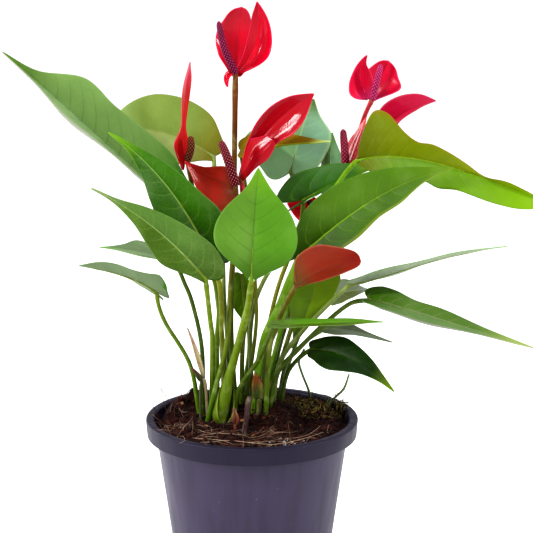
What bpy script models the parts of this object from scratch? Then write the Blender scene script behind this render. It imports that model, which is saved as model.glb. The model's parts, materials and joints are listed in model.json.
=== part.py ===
"""Potted anthurium: a round nursery pot, its soil, 21 leaves, 9 blooms and the dry bits of the crown.

The tables hold millimetres from the middle of the pot's bottom: x to the right, y away from the
viewer, z up. Meshes are made in metres. Every leaf is a heart or spear shaped blade on a petiole that
stands in a hole in the soil; every bloom is a peduncle, a spathe and a spadix.
"""
import math
import random
from dataclasses import dataclass

import bmesh
import bpy
import numpy as np

MM = 0.001
GAP = 0.3                     # clearance between touching pieces, mm
SEED = 7

# The pot, mm
POT_HEIGHT = 105.0
RIM_RADIUS = 60.0
RIM_BAND = 10.0               # height of the rolled band under the rim
LIP = 5.0                     # width of the rim's flat top
LIP_DEPTH = 4.0               # the rim's upright inner face
BODY_TOP_RADIUS = 53.8        # outside, at the bend where the wall widens to the rim
BODY_BOTTOM_RADIUS = 41.0
BEND_HEIGHT = 93.0
WALL = 1.6
BASE_WALL = 2.3               # the wall grows thicker down to the base
FLOOR = 2.0
LIP_BEVEL = 1.0
BAND_WALL = 1.2               # the band hangs free of the wall, with a groove behind it
BAND_LEAN = 0.7               # how far the band draws in down to its lower edge
FOOT_BEVEL = 0.9
POT_SEGMENTS = 32
DRAIN_HOLES = 6
DRAIN_RING = 26.0
DRAIN_RADIUS = 3.5
DRAIN_SEGMENTS = 12

# The soil, mm
SOIL_EDGE = 98.0              # where its surface meets the pot's wall
SOIL_LEVEL = 101.0
CROWN_RISE = 9.0              # the mound that the stems stand in
CROWN_CENTRE = (0.0, 14.0)
CROWN_SPREAD = (22.0, 15.0)
SOIL_RINGS = 10
STEM_DEPTH = 9.0
HOLE_CLEARANCE = 0.4          # a plain hole round each stem: the gap and the stems' flat sides
HOLE_TOP = 12.0               # how far a hole's cutter rises above the soil
EDGE_BLEND = 6.0              # the ring in which the surface comes down to the wall
EDGE_SHARE = 0.35             # of its height it keeps at the wall
CLUMP_SPREAD = 1.6            # a clump's radius in widths of its bell curve

# The plant, mm
BLADE = 0.7                   # thickness of a leaf's blade
SPATHE = 0.8
BLADE_ROWS = 9
BLADE_COLUMNS = 6
SLIM_COLUMNS = 4              # across a slim blade
SLIM_HALF = 13.0              # a blade with no station wider than this is slim
SPATHE_ROWS = 8
SPATHE_COLUMNS = 6
DRY_ROWS = 4
DRY_COLUMNS = 2
TIP_HALF = 0.4                # half width that every blade keeps at its tip
RIB_SHARE = 0.25              # how far the petiole runs on along the underside
RIB_END = 0.28                # its radius where it sinks into the blade
RIB_POINTS = 3
RIB_DROP = 0.5                # of its radius that the rib hangs below the midrib
CURL_EASE = 0.6               # of the curl that is gone at the tip
TUBE_SIDES = 6
STEM_STEP = 25.0              # between the points of a stem's route
STEM_SLIM = 0.25              # of the taper that is left at a third of the height
STEM_SLIM_AT = 0.35
SPADIX_SIDES = 8
SPADIX_ROWS = 10
SPADIX_PLACES = (0, 0.15, 0.7, 0.97, 1)
SPADIX_SIZES = (0.85, 1, 0.9, 0.45, 0.2)   # shares of its radius at those places
FLORET_RISE = 0.09
SPADIX_CLEARANCE = 0.6
SMOOTH_ANGLE = 40


@dataclass(frozen=True)
class Leaf:
    """One leaf. The half widths stand at equal steps of the length, seen along the midrib from the face."""

    name: str
    colour: str
    root: tuple               # x, y where the petiole leaves the soil
    petiole: tuple            # points above the root, up to the blade
    midrib: tuple             # control points of one Bezier curve, base to tip
    left: tuple
    right: tuple
    face: tuple               # where the upper side looks
    fold: tuple = (10, 10)    # degrees that each half rises from flat
    lobe: float = 0.05        # how far the lobes reach back, as a share of the length
    radii: tuple = (1.4, 1.1)  # petiole, at the soil and at the blade
    face_tip: tuple = ()
    fold_tip: tuple = ()
    curl: tuple = (0, 0)      # degrees that each half bends over its width
    hangs: bool = False       # the blade hangs back from its petiole, so no rib runs on


@dataclass(frozen=True)
class Bloom:
    """One bloom: its stem, the spathe as a blade, and the spadix on a short curve."""

    name: str
    root: tuple
    peduncle: tuple
    midrib: tuple
    left: tuple
    right: tuple
    face: tuple
    spadix: tuple
    spadix_radius: float = 1.8
    fold: tuple = (10, 10)
    lobe: float = 0.05
    curl: tuple = (20, 20)
    radii: tuple = (1.4, 1.3)
    spathe_colour: str = "d0002a"
    peduncle_colour: str = "7a6a25"
    spadix_colour: str = "6a1a4a"
    face_tip: tuple = ()


LEAVES = (
    Leaf("leaf_long_left", "6f9f50", (-20, 10),
         ((-20, 10, 144), (-19, 12, 170), (-27, 13, 198)),
         ((-41, 12, 223), (-72, 8, 250), (-104, 2, 284), (-134, -6, 311)),
         (7, 7, 9.5, 14, 20, 6), (14, 20, 20, 18.5, 18.5, 4.5), (0.1, -0.77, 0.64), (50, 30), 0.08, (1.7, 1.3)),
    Leaf("leaf_bright_left", "4f9a10", (-15, 6),
         ((-16, 3, 140), (-17, -1, 156), (-17, -4, 173), (-19, -6, 188)),
         ((-25, -8, 203), (-38, -13, 232), (-54, -18, 254), (-76, -24, 270)),
         (13, 16, 15, 12, 6, 1.5), (15, 17, 13, 9.5, 6, 2.5), (0, -0.95, 0.3), (18, 18), 0.12, (1.6, 1.3)),
    Leaf("leaf_lower_left", "5f9040", (-23, 4),
         ((-22, -4, 148), (-23, -9, 163), (-24, -14, 176)),
         ((-25, -20, 189), (-39, -27, 209), (-59, -34, 229), (-84, -42, 243)),
         (1.5, 8, 12, 9.5, 4.5, 1), (14, 15.5, 13.5, 10, 6, 1.5), (0, -1, 0.2), (18, 18), 0.06, (1.6, 1.3)),
    Leaf("leaf_front_upright", "74b845", (-18, -4),
         ((-13, -7, 128), (-7, -13, 152), (-2, -24, 174)),
         ((0, -36, 191), (1, -42, 223), (4, -50, 255)),
         (0.5, 11, 19.5, 20.5, 15.5, 5.5), (1, 17, 23, 23, 18, 8), (0, -1, 0.1), (12, 12), 0, (4.6, 1.4)),
    Leaf("leaf_olive_back", "93b04a", (-12, 13),
         ((-14, 21, 142), (-16, 24, 167), (-17, 30, 192), (-21, 40, 222)),
         ((-22, 46, 246), (-47, 46, 264), (-83, 36, 264)),
         (3, 11, 16, 15.5, 11, 6), (11, 18.5, 21.5, 22, 20, 13), (0, -0.9, 0.4), (15, 15), 0.04, (1.5, 1.2)),
    Leaf("leaf_blue_back", "7fa585", (0, 15),
         ((-1, 17, 151), (6, 23, 177), (27, 35, 208), (27, 42, 225)),
         ((22, 45, 237), (27, 45, 261), (35, 39, 280)),
         (18, 29, 29, 21, 14, 6), (11, 15, 17, 18, 16, 6.5), (0, -1, 0.2), (10, 10), 0.12, (1.5, 1.2)),
    Leaf("leaf_brown_tip", "9a8a20", (-4, 10),
         ((2, 12, 151), (2, 16, 176), (-1, 26, 213)),
         ((-6.5, 32, 251), (19, 28, 257), (44, 17, 259)),
         (9, 12, 11, 8, 4.5, 1.5), (9, 9, 5, 2, 1, 0.7), (0, -0.5, 0.85), (15, 15), 0.02, (1.3, 0.9)),
    Leaf("leaf_grey_back", "50705a", (4, 24),
         ((18, 38, 146), (34, 48, 185)),
         ((46, 54, 219), (44, 54, 240), (46, 52, 259)),
         (8, 9, 9, 8, 6, 3), (8, 9, 9, 8, 6, 3), (0.5, -0.8, 0), (20, 20), 0.05, (1.3, 1.0)),
    Leaf("leaf_big_right", "8aaa10", (7, 3.5),
         ((14, 4, 145), (27, 4, 189), (41, 5, 225), (51, 6, 242)),
         ((58, 6, 250), (79, 2, 257), (108, -8, 253), (163, -26, 230)),
         (0.5, 15.5, 26, 24.5, 15.5, 10.2, 10.3, 7.7, 4.2, 0.5, 3, 2),
         (3, 8, 10.5, 12, 13, 12.5, 12, 14.5, 12.5, 12.5, 12, 9), (0.3, -0.9, 0.1), (10, 15), 0, (1.6, 1.3),
         face_tip=(0, -0.85, 0.5), fold_tip=(75, 10)),
    Leaf("leaf_dark_lobe", "3c7000", (6, 8),
         ((16, 10, 150), (23, 10, 182), (27, 12, 210)),
         ((29, 12, 227), (44, 20, 235), (71, 14, 246)),
         (15, 14.5, 13, 11.5, 8.5, 4), (5, 6, 6, 6, 5, 2), (0, -0.8, 0.6), (10, 55), 0.35),
    Leaf("leaf_front_right", "4f8a28", (0.5, -1),
         ((6, -4, 148), (15, -7, 170), (21, -8, 186)),
         ((27, -8, 199), (51, -12, 223), (76, -18, 243), (108, -27, 251.5)),
         (9, 17, 18.5, 16.5, 11.5, 5), (9.5, 12, 13, 10, 9, 3), (0, -0.95, 0.3), (18, 18), 0.08, (2.3, 2.0)),
    Leaf("leaf_slim_right", "93ab80", (11, -0.5),
         ((15.5, -1.5, 136), (27.5, -1.5, 154), (41, -2.5, 169), (52, -4, 180)),
         ((57, -4, 183), (77, -8, 188), (103, -14, 202), (138, -24, 208)),
         (9, 11, 10, 8, 5, 2), (9, 11, 10, 8, 5, 2), (0, 0.35, 0.93), (6, 6), 0.06, (1.6, 1.2)),
    Leaf("leaf_far_right", "3f8010", (9.5, -5),
         ((14, -6, 131), (26, -7, 146), (40, -8, 160.5), (54, -9.5, 172.5)),
         ((65, -10, 175), (84, -18, 173), (113, -28, 164), (152, -42, 156)),
         (13, 12, 9, 8, 6, 3), (7, 12, 14, 12, 8, 3), (0, -0.25, 1), (12, 12), 0.08, (1.5, 1.2)),
    Leaf("leaf_thin_front", "70c030", (-10.5, -4),
         ((-7, -7, 123), (3, -16, 141), (8, -24, 154)),
         ((12, -28, 165), (37, -32, 167), (71, -36, 169)),
         (8, 10, 10, 9, 7, 4), (8, 10, 10, 8, 5, 2), (0, 0, 1), (5, 5), 0.05, (1.6, 1.2)),
    Leaf("leaf_grey_low", "8aa080", (14.5, 5.5),
         ((19, 7, 133), (28, 9, 144), (36, 10, 150)),
         ((41, 10, 153), (55, 10, 154), (79, 4, 147)),
         (6, 8, 8, 6, 3, 1), (8, 10, 10, 8, 6, 3), (0, -0.2, 1), radii=(1.3, 1.0)),
    Leaf("leaf_dark_low", "1f3c05", (15.5, 1.5),
         ((19.5, 2, 128), (26, 1.5, 138)),
         ((33, 0, 144), (56, -4, 145), (79, -16, 124)),
         (6, 9, 11, 9, 6, 2.5), (8, 13.5, 15.5, 12, 6, 2), (0.1, -0.6, 0.8), (12, 12), 0.03),
    Leaf("leaf_grey_small", "7a9070", (13, 10.5),
         ((27, 16, 148), (37, 18, 163)),
         ((43, 18, 170), (53, 18, 174), (66, 14, 175)),
         (7, 7, 7, 7, 5, 2), (6, 6, 6, 5, 4, 2), (0, -0.8, 0.5), radii=(1.2, 0.9)),
    Leaf("leaf_hanging", "5d8a10", (5, -1.5),
         ((19, 3, 145), (28, 7, 171), (35, 8, 184)),
         ((38, 3, 189), (34, 2, 169), (22.5, 2.5, 144)),
         (12, 11.5, 10, 7.5, 4, 1), (12, 13, 13, 12, 8, 3), (0, -1, 0.1), (8, 8), 0.08, (1.3, 1.0), hangs=True),
    Leaf("leaf_thin_left", "6f9060", (-28, 2),
         ((-28, 1, 143), (-33, 0, 170), (-38, -1, 184)),
         ((-42, -2, 195), (-62, -5, 202), (-83, -12, 205)),
         (10, 12, 12, 11, 8, 4), (13, 14, 14, 14, 7, 3), (0, -0.1, 1), (8, 8), 0.08),
    Leaf("leaf_edge_left", "8aa880", (-30, 7),
         ((-35, 4, 134), (-48, 2, 158), (-52, 1, 169)),
         ((-53, 0, 177), (-60, -5, 185), (-77, -10, 192), (-94, -18, 196)),
         (5, 11, 8.5, 7.5, 8, 6), (3, 8, 8, 7, 5, 3), (0, 0.28, 0.95), (28, 3), 0.22),
    Leaf("leaf_dark_inner", "2a5010", (-6, 21),
         ((-2, 28, 139), (-5, 32, 168)),
         ((-6, 32, 180), (-5, 34, 164), (-4, 36, 148)),
         (6, 8, 8, 7, 5, 2), (6, 8, 8, 7, 5, 2), (0, -1, 0), (8, 8), radii=(1.2, 0.9), hangs=True),
)

BLOOMS = (
    Bloom("top", (-9.5, 9),
          ((-12, 15, 151), (-11, 22, 189), (-10, 27, 241)),
          ((-9, 25, 295), (-9, 36, 316), (3, 18, 336)),
          (8, 11, 14, 15, 14, 9), (7.5, 15, 17.5, 18, 17, 12), (0.1, -1, 0.1),
          ((-9, 22, 297), (-12, 14, 313), (-18, 12, 326)), 2.1, (8, 8), 0.03, (35, 35), (1.6, 1.5)),
    Bloom("left_open", (-25, -5),
          ((-20, -7, 125), (-14, -4, 148), (-12, 4, 178), (-9, 12, 218)),
          ((-9, 15, 234), (-25, 18, 236), (-37, 10, 249)),
          (16, 20, 18, 13, 8, 3), (6, 9, 9, 7, 4, 2), (0, -0.9, 0.4),
          ((-9, 12, 236), (-13, 8, 250), (-17, 6, 261)), 2.6, (10, 10), 0.1, (25, 25), (1.5, 1.4)),
    Bloom("left_edge", (-16, 15),
          ((-18, 18, 151), (-23, 20, 191), (-32, 22, 225)),
          ((-37.4, 21.9, 247), (-40, 25, 276), (-34, 18, 303)),
          (4, 8, 2, 2, 3.5, 3.5), (1.5, 2.5, 1.2, 2, 3, 3), (0.5, -0.85, 0),
          ((-36, 20, 248), (-34, 18, 255), (-34, 18, 262)), 2.2, (10, 10), 0.08, (10, 10),
          face_tip=(0.9, -0.4, 0)),
    Bloom("right_cup", (10, 15),
          ((17, 21, 145), (34, 28, 192), (53, 42, 233), (63, 42, 267)),
          ((66.8, 37, 279), (71, 48, 289), (64.3, 30, 305.6)),
          (7, 13, 13.5, 11, 7, 4), (8, 16, 18.5, 18.5, 16.5, 12), (0, -1, 0),
          ((68, 34, 281), (70, 29, 292), (72, 26, 301)), 2.0, (15, 15), 0.04, (45, 45)),
    Bloom("right_edge", (9.5, 10.5),
          ((22, 16, 151), (37, 24, 196), (49, 28, 224)),
          ((54, 30, 238), (61, 32, 255), (64, 28, 271)),
          (8, 10, 10, 9, 6, 3), (8, 10, 10, 9, 6, 3), (-0.96, -0.28, 0),
          ((53, 28, 240), (52, 24, 254), (51, 24, 265)), 2.3, (10, 10), 0.08, (10, 10)),
    Bloom("middle_rolled", (-6, 5),
          ((-5, 8, 147), (0, 12, 175), (-3, 17, 209)),
          ((-7, 20, 235), (-1, 22, 259), (17, 19, 275), (34, 6, 287)),
          (1, 2.5, 5.5, 8, 8.5, 6), (1.5, 4.5, 8, 9.5, 12, 9), (-0.2, -0.95, 0),
          ((-6, 22, 237), (-4, 22.5, 242), (-2, 22.5, 247)), 1.4, (10, 10), 0, (40, 40)),
    Bloom("front_rolled", (7.6, -8.7),
          ((10, -12, 147), (16, -18, 168)),
          ((24, -22, 185), (36, -24, 195), (48, -26, 199), (59, -30, 201)),
          (2, 12, 14.5, 14, 11, 9), (1, 3, 5, 5.5, 5.5, 5), (0, -0.9, 0.4),
          ((25, -20, 187), (31, -18, 193), (38, -18, 197)), 1.8, (10, 10), 0, (30, 30)),
    Bloom("right_hidden", (5, 20),
          ((11, 30, 141), (33, 30, 180), (55, 24, 216), (70, 17, 245)),
          ((74, 17, 265), (82, 15, 277), (101, 8, 283)),
          (8, 9.5, 10.3, 9.8, 8.3, 5.5), (6, 4, 2.5, 2, 1.6, 0.6), (0, -0.9, 0.4),
          ((73, 19, 266), (76, 20, 273), (80, 20, 279)), 1.8, (15, 15), 0.05, (15, 15)),
    Bloom("middle_small", (1, 4.5),
          ((9, 8, 153), (16, 12, 181), (27, 18, 206)),
          ((38, 22, 221), (30, 22, 217), (20, 18, 224)),
          (7, 9, 9, 8, 6, 3), (7, 9, 9, 8, 6, 3), (0, -0.9, 0.3),
          ((36, 19, 222), (32, 17, 225), (29, 16, 229)), 1.8, (10, 10), 0.05, (20, 20), (1.3, 1.2)),
)

DRY_BITS = (
    Leaf("dry_sheath", "9a5a22", (4, -6),
         ((4, -6, 114),),
         ((4, -6, 117), (4, -7.5, 125), (2, -8, 132)),
         (2.4, 3.4, 3.6, 3.4, 3, 2), (2.4, 3, 3.1, 3, 2.6, 1.6), (0, -1, 0), (25, 25), 0, (1.6, 1.2)),
    Leaf("dry_bract_front", "a86a3a", (-9, -18),
         ((-9, -18, 104),),
         ((-9, -18, 106), (-8.5, -18.5, 110), (-10, -19, 115.5)),
         (1, 1.8, 1.8, 1.4, 1, 0.5), (1, 1.8, 1.8, 1.4, 1, 0.5), (0, -1, 0.2), (25, 25), 0, (1.0, 0.8)),
    Leaf("dry_bract_upper", "c08a86", (-25, 0),
         ((-26, -1.5, 122),),
         ((-27, -2, 128), (-30, -3, 143), (-36, -5, 158)),
         (0.8, 1.2, 1.4, 1.2, 0.8, 0.4), (0.8, 1.2, 1.4, 1.2, 0.8, 0.4), (-0.3, -1, 0), (30, 30), 0, (1.0, 0.8)),
    Leaf("dry_bract_lower", "7a4a2a", (-29, -2.5),
         ((-29, -3, 121),),
         ((-28.5, -3.4, 126.5), (-30, -4, 130.5), (-34, -4.5, 134.6)),
         (0.8, 1.2, 1.2, 1, 0.7, 0.4), (0.8, 1.2, 1.2, 1, 0.7, 0.4), (0, -1, 0.3), (25, 25), 0, (0.8, 0.7)),
)

# Plain stalks: name, colour, root, points, radii
STALKS = (
    ("aerial_root", "4a3038", (-4, -28), ((-4, -26, 104), (-3, -19, 109), (-2, -12, 116), (-1, -10, 119)), (1.4, 1.6)),
    ("grass_left", "a8b878", (34, 36), ((33, 36, 109), (29, 34, 120), (27, 30, 129), (30, 26, 137)), (0.9, 0.7)),
    ("grass_right", "a8b878", (43.5, 27), ((47, 28, 106.5), (53, 27, 113), (56, 26, 122)), (0.9, 0.6)),
)

# Clumps of the soil's surface: x, y, radius, rise
CLUMPS = (
    (-36, 34, 7, 10), (-44, 24, 6, 9), (-46, 8, 6, 7), (-30, -18, 8, 4), (-12, -30, 7, 3),
    (14, -34, 8, 3), (34, 20, 9, 4), (30, -8, 8, -7), (36, -26, 8, 3), (-38, -22, 6, 3), (18, 40, 9, 4),
    (15, -5, 14, 8),
)
CRUMBS = 90
CRUMB_RADIUS = (2.5, 4.5)
CRUMB_RISE = (-1.2, 1.8)
CRUMB_REACH = 48.0


def unit(vectors):
    """Vectors along the last axis at length 1."""
    return vectors / np.linalg.norm(vectors, axis=-1, keepdims=True)


def bezier(points, t):
    """Points of a Bezier curve of any degree at the values t, by repeated halfway steps."""
    layers = [np.asarray(point, float) + np.zeros((len(t), 1)) for point in points]
    while len(layers) > 1:
        layers = [(1 - t)[:, None] * a + t[:, None] * b for a, b in zip(layers, layers[1:])]
    return layers[0]


def bezier_slope(points, t):
    """The curve's derivative: a Bezier curve on the differences of its points."""
    steps = [np.subtract(b, a) for a, b in zip(points, points[1:])]
    return len(steps) * bezier(steps, t)


def catmull(values, t):
    """A smooth curve through rows of values at equal steps, t from 0 to 1."""
    rows = np.asarray(values, float)
    rows = np.concatenate([2 * rows[:1] - rows[1:2], rows, 2 * rows[-1:] - rows[-2:-1]])
    spans = len(rows) - 3
    place = np.clip(t * spans, 0, spans - 1e-9)
    first = place.astype(int)
    s = (place - first).reshape((-1,) + (1,) * (rows.ndim - 1))
    a, b, c, d = (rows[first + k] for k in range(4))
    return 0.5 * (2 * b + (c - a) * s + (2 * a - 5 * b + 4 * c - d) * s ** 2 + (3 * b - a - 3 * c + d) * s ** 3)


def half_width(stations, u):
    """Half width at u: a smooth curve through the stations, 0 at the tip, never below 0."""
    return np.maximum(catmull(list(stations) + [0.0], u.ravel()), 0).reshape(u.shape) + TIP_HALF


def soil_mound(x, y):
    """Height of the soil before its clumps: a flat level with a round mound under the crown."""
    reach = ((x - CROWN_CENTRE[0]) / CROWN_SPREAD[0]) ** 2 + ((y - CROWN_CENTRE[1]) / CROWN_SPREAD[1]) ** 2
    return SOIL_LEVEL + CROWN_RISE * np.exp(-reach / 2)


def soil_surface(x, y, crumbs):
    """The mound with its clumps and crumbs, drawn down to the pot's wall at the edge."""
    height = soil_mound(x, y)
    for centre_x, centre_y, radius, rise in CLUMPS + crumbs:
        height = height + rise * np.exp(
            -((x - centre_x) ** 2 + (y - centre_y) ** 2) / (2 * (radius / CLUMP_SPREAD) ** 2))
    edge = np.clip((pot_inside(SOIL_EDGE) - GAP - np.hypot(x, y)) / EDGE_BLEND, 0, 1)
    return SOIL_EDGE + (height - SOIL_EDGE) * (EDGE_SHARE + (1 - EDGE_SHARE) * edge)


def pot_inside(height):
    """Inner radius of the pot at a height: a tapered wall, then a flare up to the rim's lip."""
    heights = (FLOOR, BEND_HEIGHT, POT_HEIGHT - LIP_DEPTH)
    radii = (BODY_BOTTOM_RADIUS - BASE_WALL, BODY_TOP_RADIUS - WALL, RIM_RADIUS - LIP)
    return float(np.interp(height, heights, radii))


def blade_surface(shape, rows, columns):
    """Middle surface of a blade as functions of u (base to tip) and v (-1 right edge, +1 left edge).

    The midrib is a Bezier curve. Across it each half is an arc that leaves the midrib at the fold angle
    and bends by the curl angle: with half width w, angle p and bend q, the arc's point at a = |v| lies
    w (sin(p + q a) - sin p) / q out and w (cos p - cos(p + q a)) / q up. Lobes reach back behind
    the base by the share `lobe` of the length, as sin(pi a) (1 - u)^4.
    """
    def surface(u, v):
        side_share = np.abs(v)
        along = u - shape.lobe * np.sin(math.pi * side_share) * (1 - u) ** 4
        inside = np.clip(along, 0, 1)
        tangent = bezier_slope(shape.midrib, inside)
        point = bezier(shape.midrib, inside) + np.minimum(along, 0)[:, None] * bezier_slope(shape.midrib, inside * 0)
        tangent = unit(tangent)
        face = np.asarray(shape.face, float)
        face_tip = np.asarray(getattr(shape, "face_tip", ()) or shape.face, float)
        normal = face + (face_tip - face) * inside[:, None]
        normal = unit(normal - (normal * tangent).sum(-1, keepdims=True) * tangent)
        side = np.cross(normal, tangent)
        half = np.where(v > 0, half_width(shape.left, u), half_width(shape.right, u))
        fold_tip = getattr(shape, "fold_tip", ()) or shape.fold
        start = np.where(v > 0, shape.fold[0], shape.fold[1])
        end = np.where(v > 0, fold_tip[0], fold_tip[1])
        angle = np.radians(start + (end - start) * u)
        bend = np.radians(np.where(v > 0, shape.curl[0], shape.curl[1])) * (1 - CURL_EASE * u)
        bend = np.where(np.abs(bend) < 1e-3, 1e-3, bend)
        out = half * (np.sin(angle + bend * side_share) - np.sin(angle)) / bend
        up = half * (np.cos(angle) - np.cos(angle + bend * side_share)) / bend
        return point + side * (out * np.sign(v))[:, None] + normal * up[:, None]

    bm = bmesh.new()
    bmesh.ops.create_grid(bm, x_segments=rows, y_segments=columns, size=1)
    flat = np.array([vertex.co[:2] for vertex in bm.verts])
    for vertex, place in zip(bm.verts, surface((flat[:, 0] + 1) / 2, flat[:, 1])):
        vertex.co = place * MM
    bmesh.ops.triangulate(bm, faces=bm.faces[:], quad_method="SHORT_EDGE")
    return bm


def rib_line(shape, radius):
    """The rib under the blade: it runs below the midrib and sinks into the blade at its end."""
    u = np.linspace(0, RIB_SHARE, RIB_POINTS)
    line = bezier(shape.midrib, u)
    tangent = unit(bezier_slope(shape.midrib, u))
    normal = np.asarray(shape.face, float)
    normal = unit(normal - (normal * tangent).sum(-1, keepdims=True) * tangent)
    radii = np.linspace(radius, RIB_END, len(u))
    return line - normal * (RIB_DROP * (radii - RIB_END))[:, None], radii


def add_object(name, bm, collection, colour=None, roughness=0.5):
    """A mesh object from a bmesh, in a collection, with its own material where it has a colour."""
    mesh = bpy.data.meshes.new(name)
    bm.to_mesh(mesh)
    bm.free()
    obj = bpy.data.objects.new(name, mesh)
    collection.objects.link(obj)
    if colour:
        paint(obj, colour, roughness)
    return obj


def paint(obj, colour, roughness=0.5):
    """A Principled material of its own, from an sRGB colour in hexadecimal digits."""
    material = bpy.data.materials.new(obj.name)
    material.use_nodes = True
    shader = material.node_tree.nodes["Principled BSDF"]
    channels = [int(colour[k:k + 2], 16) / 255 for k in (0, 2, 4)]
    linear = [c / 12.92 if c <= 0.04045 else ((c + 0.055) / 1.055) ** 2.4 for c in channels]
    shader.inputs["Base Color"].default_value = (*linear, 1)
    shader.inputs["Roughness"].default_value = roughness
    shader.inputs["Metallic"].default_value = 0
    obj.data.materials.clear()
    obj.data.materials.append(material)
    obj.data.shade_smooth()
    obj.data.set_sharp_from_angle(angle=math.radians(SMOOTH_ANGLE))


def is_closed(bm):
    """True where there are faces, and exactly two of them at every edge."""
    return len(bm.faces) > 0 and all(edge.is_manifold for edge in bm.edges)


def evaluates_closed(obj):
    """True where the object's evaluated shape is closed."""
    bm = evaluated_body(obj)
    closed = is_closed(bm)
    bm.free()
    return closed


def apply_modifiers(obj):
    """Puts the object's evaluated shape in its mesh and clears its modifiers."""
    bm = evaluated_body(obj)
    obj.modifiers.clear()
    bm.to_mesh(obj.data)
    bm.free()


def evaluated_body(obj):
    """The object's evaluated shape as one body of triangles without loose scraps."""
    bpy.context.view_layer.update()
    graph = bpy.context.evaluated_depsgraph_get()
    mesh = bpy.data.meshes.new_from_object(obj.evaluated_get(graph))
    bm = bmesh.new()
    for method in ("BEAUTY", "EAR_CLIP"):
        bm.clear()
        bm.from_mesh(mesh)
        bmesh.ops.remove_doubles(bm, verts=bm.verts[:], dist=5e-7)
        bmesh.ops.dissolve_degenerate(bm, edges=bm.edges[:], dist=2e-7)
        drop_scraps(bm)
        bmesh.ops.triangulate(bm, faces=bm.faces[:], ngon_method=method)
        if is_closed(bm):
            break
    bpy.data.meshes.remove(mesh)
    return bm


def drop_scraps(bm):
    """Keeps the body with the most vertices and deletes the others."""
    bodies, seen = [], set()
    for vertex in bm.verts:
        if vertex in seen:
            continue
        body, queue = [], [vertex]
        seen.add(vertex)
        while queue:
            here = queue.pop()
            body.append(here)
            for edge in here.link_edges:
                other = edge.other_vert(here)
                if other not in seen:
                    seen.add(other)
                    queue.append(other)
        bodies.append(body)
    bodies.sort(key=len)
    for body in bodies[:-1]:
        bmesh.ops.delete(bm, geom=body, context="VERTS")


def solid_blade(name, shape, rows, columns, thickness, collection):
    """The blade's middle surface, thickened alike on both sides."""
    obj = add_object(name, blade_surface(shape, rows, columns), collection)
    solid = obj.modifiers.new("thickness", "SOLIDIFY")
    solid.thickness = thickness * MM
    solid.offset = 0
    return obj


def tube(name, points, radii, collection):
    """A closed tube along points, with a radius at each, as a mesh object."""
    curve = bpy.data.curves.new(name, "CURVE")
    curve.dimensions = "3D"
    curve.bevel_depth = MM
    curve.bevel_resolution = (TUBE_SIDES - 4) // 2
    curve.use_fill_caps = True
    spline = curve.splines.new("POLY")
    spline.points.add(len(points) - 1)
    for point, place, radius in zip(spline.points, points, radii):
        point.co = (*(np.asarray(place) * MM), 1)
        point.radius = radius
    route = bpy.data.objects.new(name + "_route", curve)
    collection.objects.link(route)
    bpy.context.view_layer.update()
    graph = bpy.context.evaluated_depsgraph_get()
    mesh = bpy.data.meshes.new_from_object(route.evaluated_get(graph))
    bm = bmesh.new()
    bm.from_mesh(mesh)
    bmesh.ops.remove_doubles(bm, verts=bm.verts[:], dist=1e-6)
    bmesh.ops.recalc_face_normals(bm, faces=bm.faces[:])
    obj = add_object(name, bm, collection)
    obj.matrix_world = route.matrix_world
    bpy.data.objects.remove(route)
    bpy.data.curves.remove(curve)
    bpy.data.meshes.remove(mesh)
    return obj


def boolean(obj, others, operation):
    """Joins or cuts an object with others, and removes them."""
    group = bpy.data.collections.new("operands")
    bpy.context.scene.collection.children.link(group)
    for other in others:
        group.objects.link(other)
    step = obj.modifiers.new(operation.lower(), "BOOLEAN")
    step.operation = operation
    step.operand_type = "COLLECTION"
    step.collection = group
    if not evaluates_closed(obj):
        step.solver = "MANIFOLD"
    apply_modifiers(obj)
    bpy.data.collections.remove(group)
    for other in others:
        bpy.data.objects.remove(other)


def stem_route(root, points, radii):
    """Points and radii of a stem: a straight foot in the soil, then a smooth curve to its last point."""
    ground = np.array([root[0], root[1], float(soil_mound(root[0], root[1]))])
    above = np.array([ground] + [np.asarray(point, float) for point in points])
    length = np.linalg.norm(np.diff(above, axis=0), axis=1).sum()
    t = np.linspace(0, 1, max(4, round(length / STEM_STEP)) + 1)
    curve = catmull(above, t)
    foot = ground - STEM_DEPTH * unit(curve[1] - curve[0])
    thick, thin = radii
    slim = thin + STEM_SLIM * (thick - thin)
    sizes = np.interp(t, [0, STEM_SLIM_AT, 1], [thick, slim, thin])
    return np.vstack([foot, curve]), np.concatenate([[thick], sizes])


def hole_cutter(name, route, radii, collection):
    """The same foot as its stem, wider and longer by the clearance, up to clear of the soil."""
    count = 2 + int((route[1:, 2] < route[1, 2] + HOLE_TOP).sum())
    points = route[:count].copy()
    points[0] -= GAP * unit(points[1] - points[0])
    return tube(name, points, radii[:count] + HOLE_CLEARANCE, collection)


def make_leaf(leaf, parts, cutters):
    """Blade and petiole fused into one body, and the cutter of its hole in the soil."""
    points = list(leaf.petiole) + [leaf.midrib[0]]
    route, radii = stem_route(leaf.root, points, leaf.radii)
    whole, sizes = route, radii
    if not leaf.hangs:
        rib, rib_radii = rib_line(leaf, leaf.radii[1])
        whole = np.vstack([route[:-1], rib])
        sizes = np.concatenate([radii[:-1], rib_radii])
    rows, columns = (DRY_ROWS, DRY_COLUMNS) if leaf in DRY_BITS else (BLADE_ROWS, BLADE_COLUMNS)
    if leaf in LEAVES and max(leaf.left + leaf.right) <= SLIM_HALF:
        columns = SLIM_COLUMNS
    obj = solid_blade(leaf.name, leaf, rows, columns, BLADE, parts)
    boolean(obj, [tube(leaf.name + "_petiole", whole, sizes, cutters)], "UNION")
    paint(obj, leaf.colour, 0.35)
    return hole_cutter(leaf.name + "_hole", route, radii, cutters)


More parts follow.
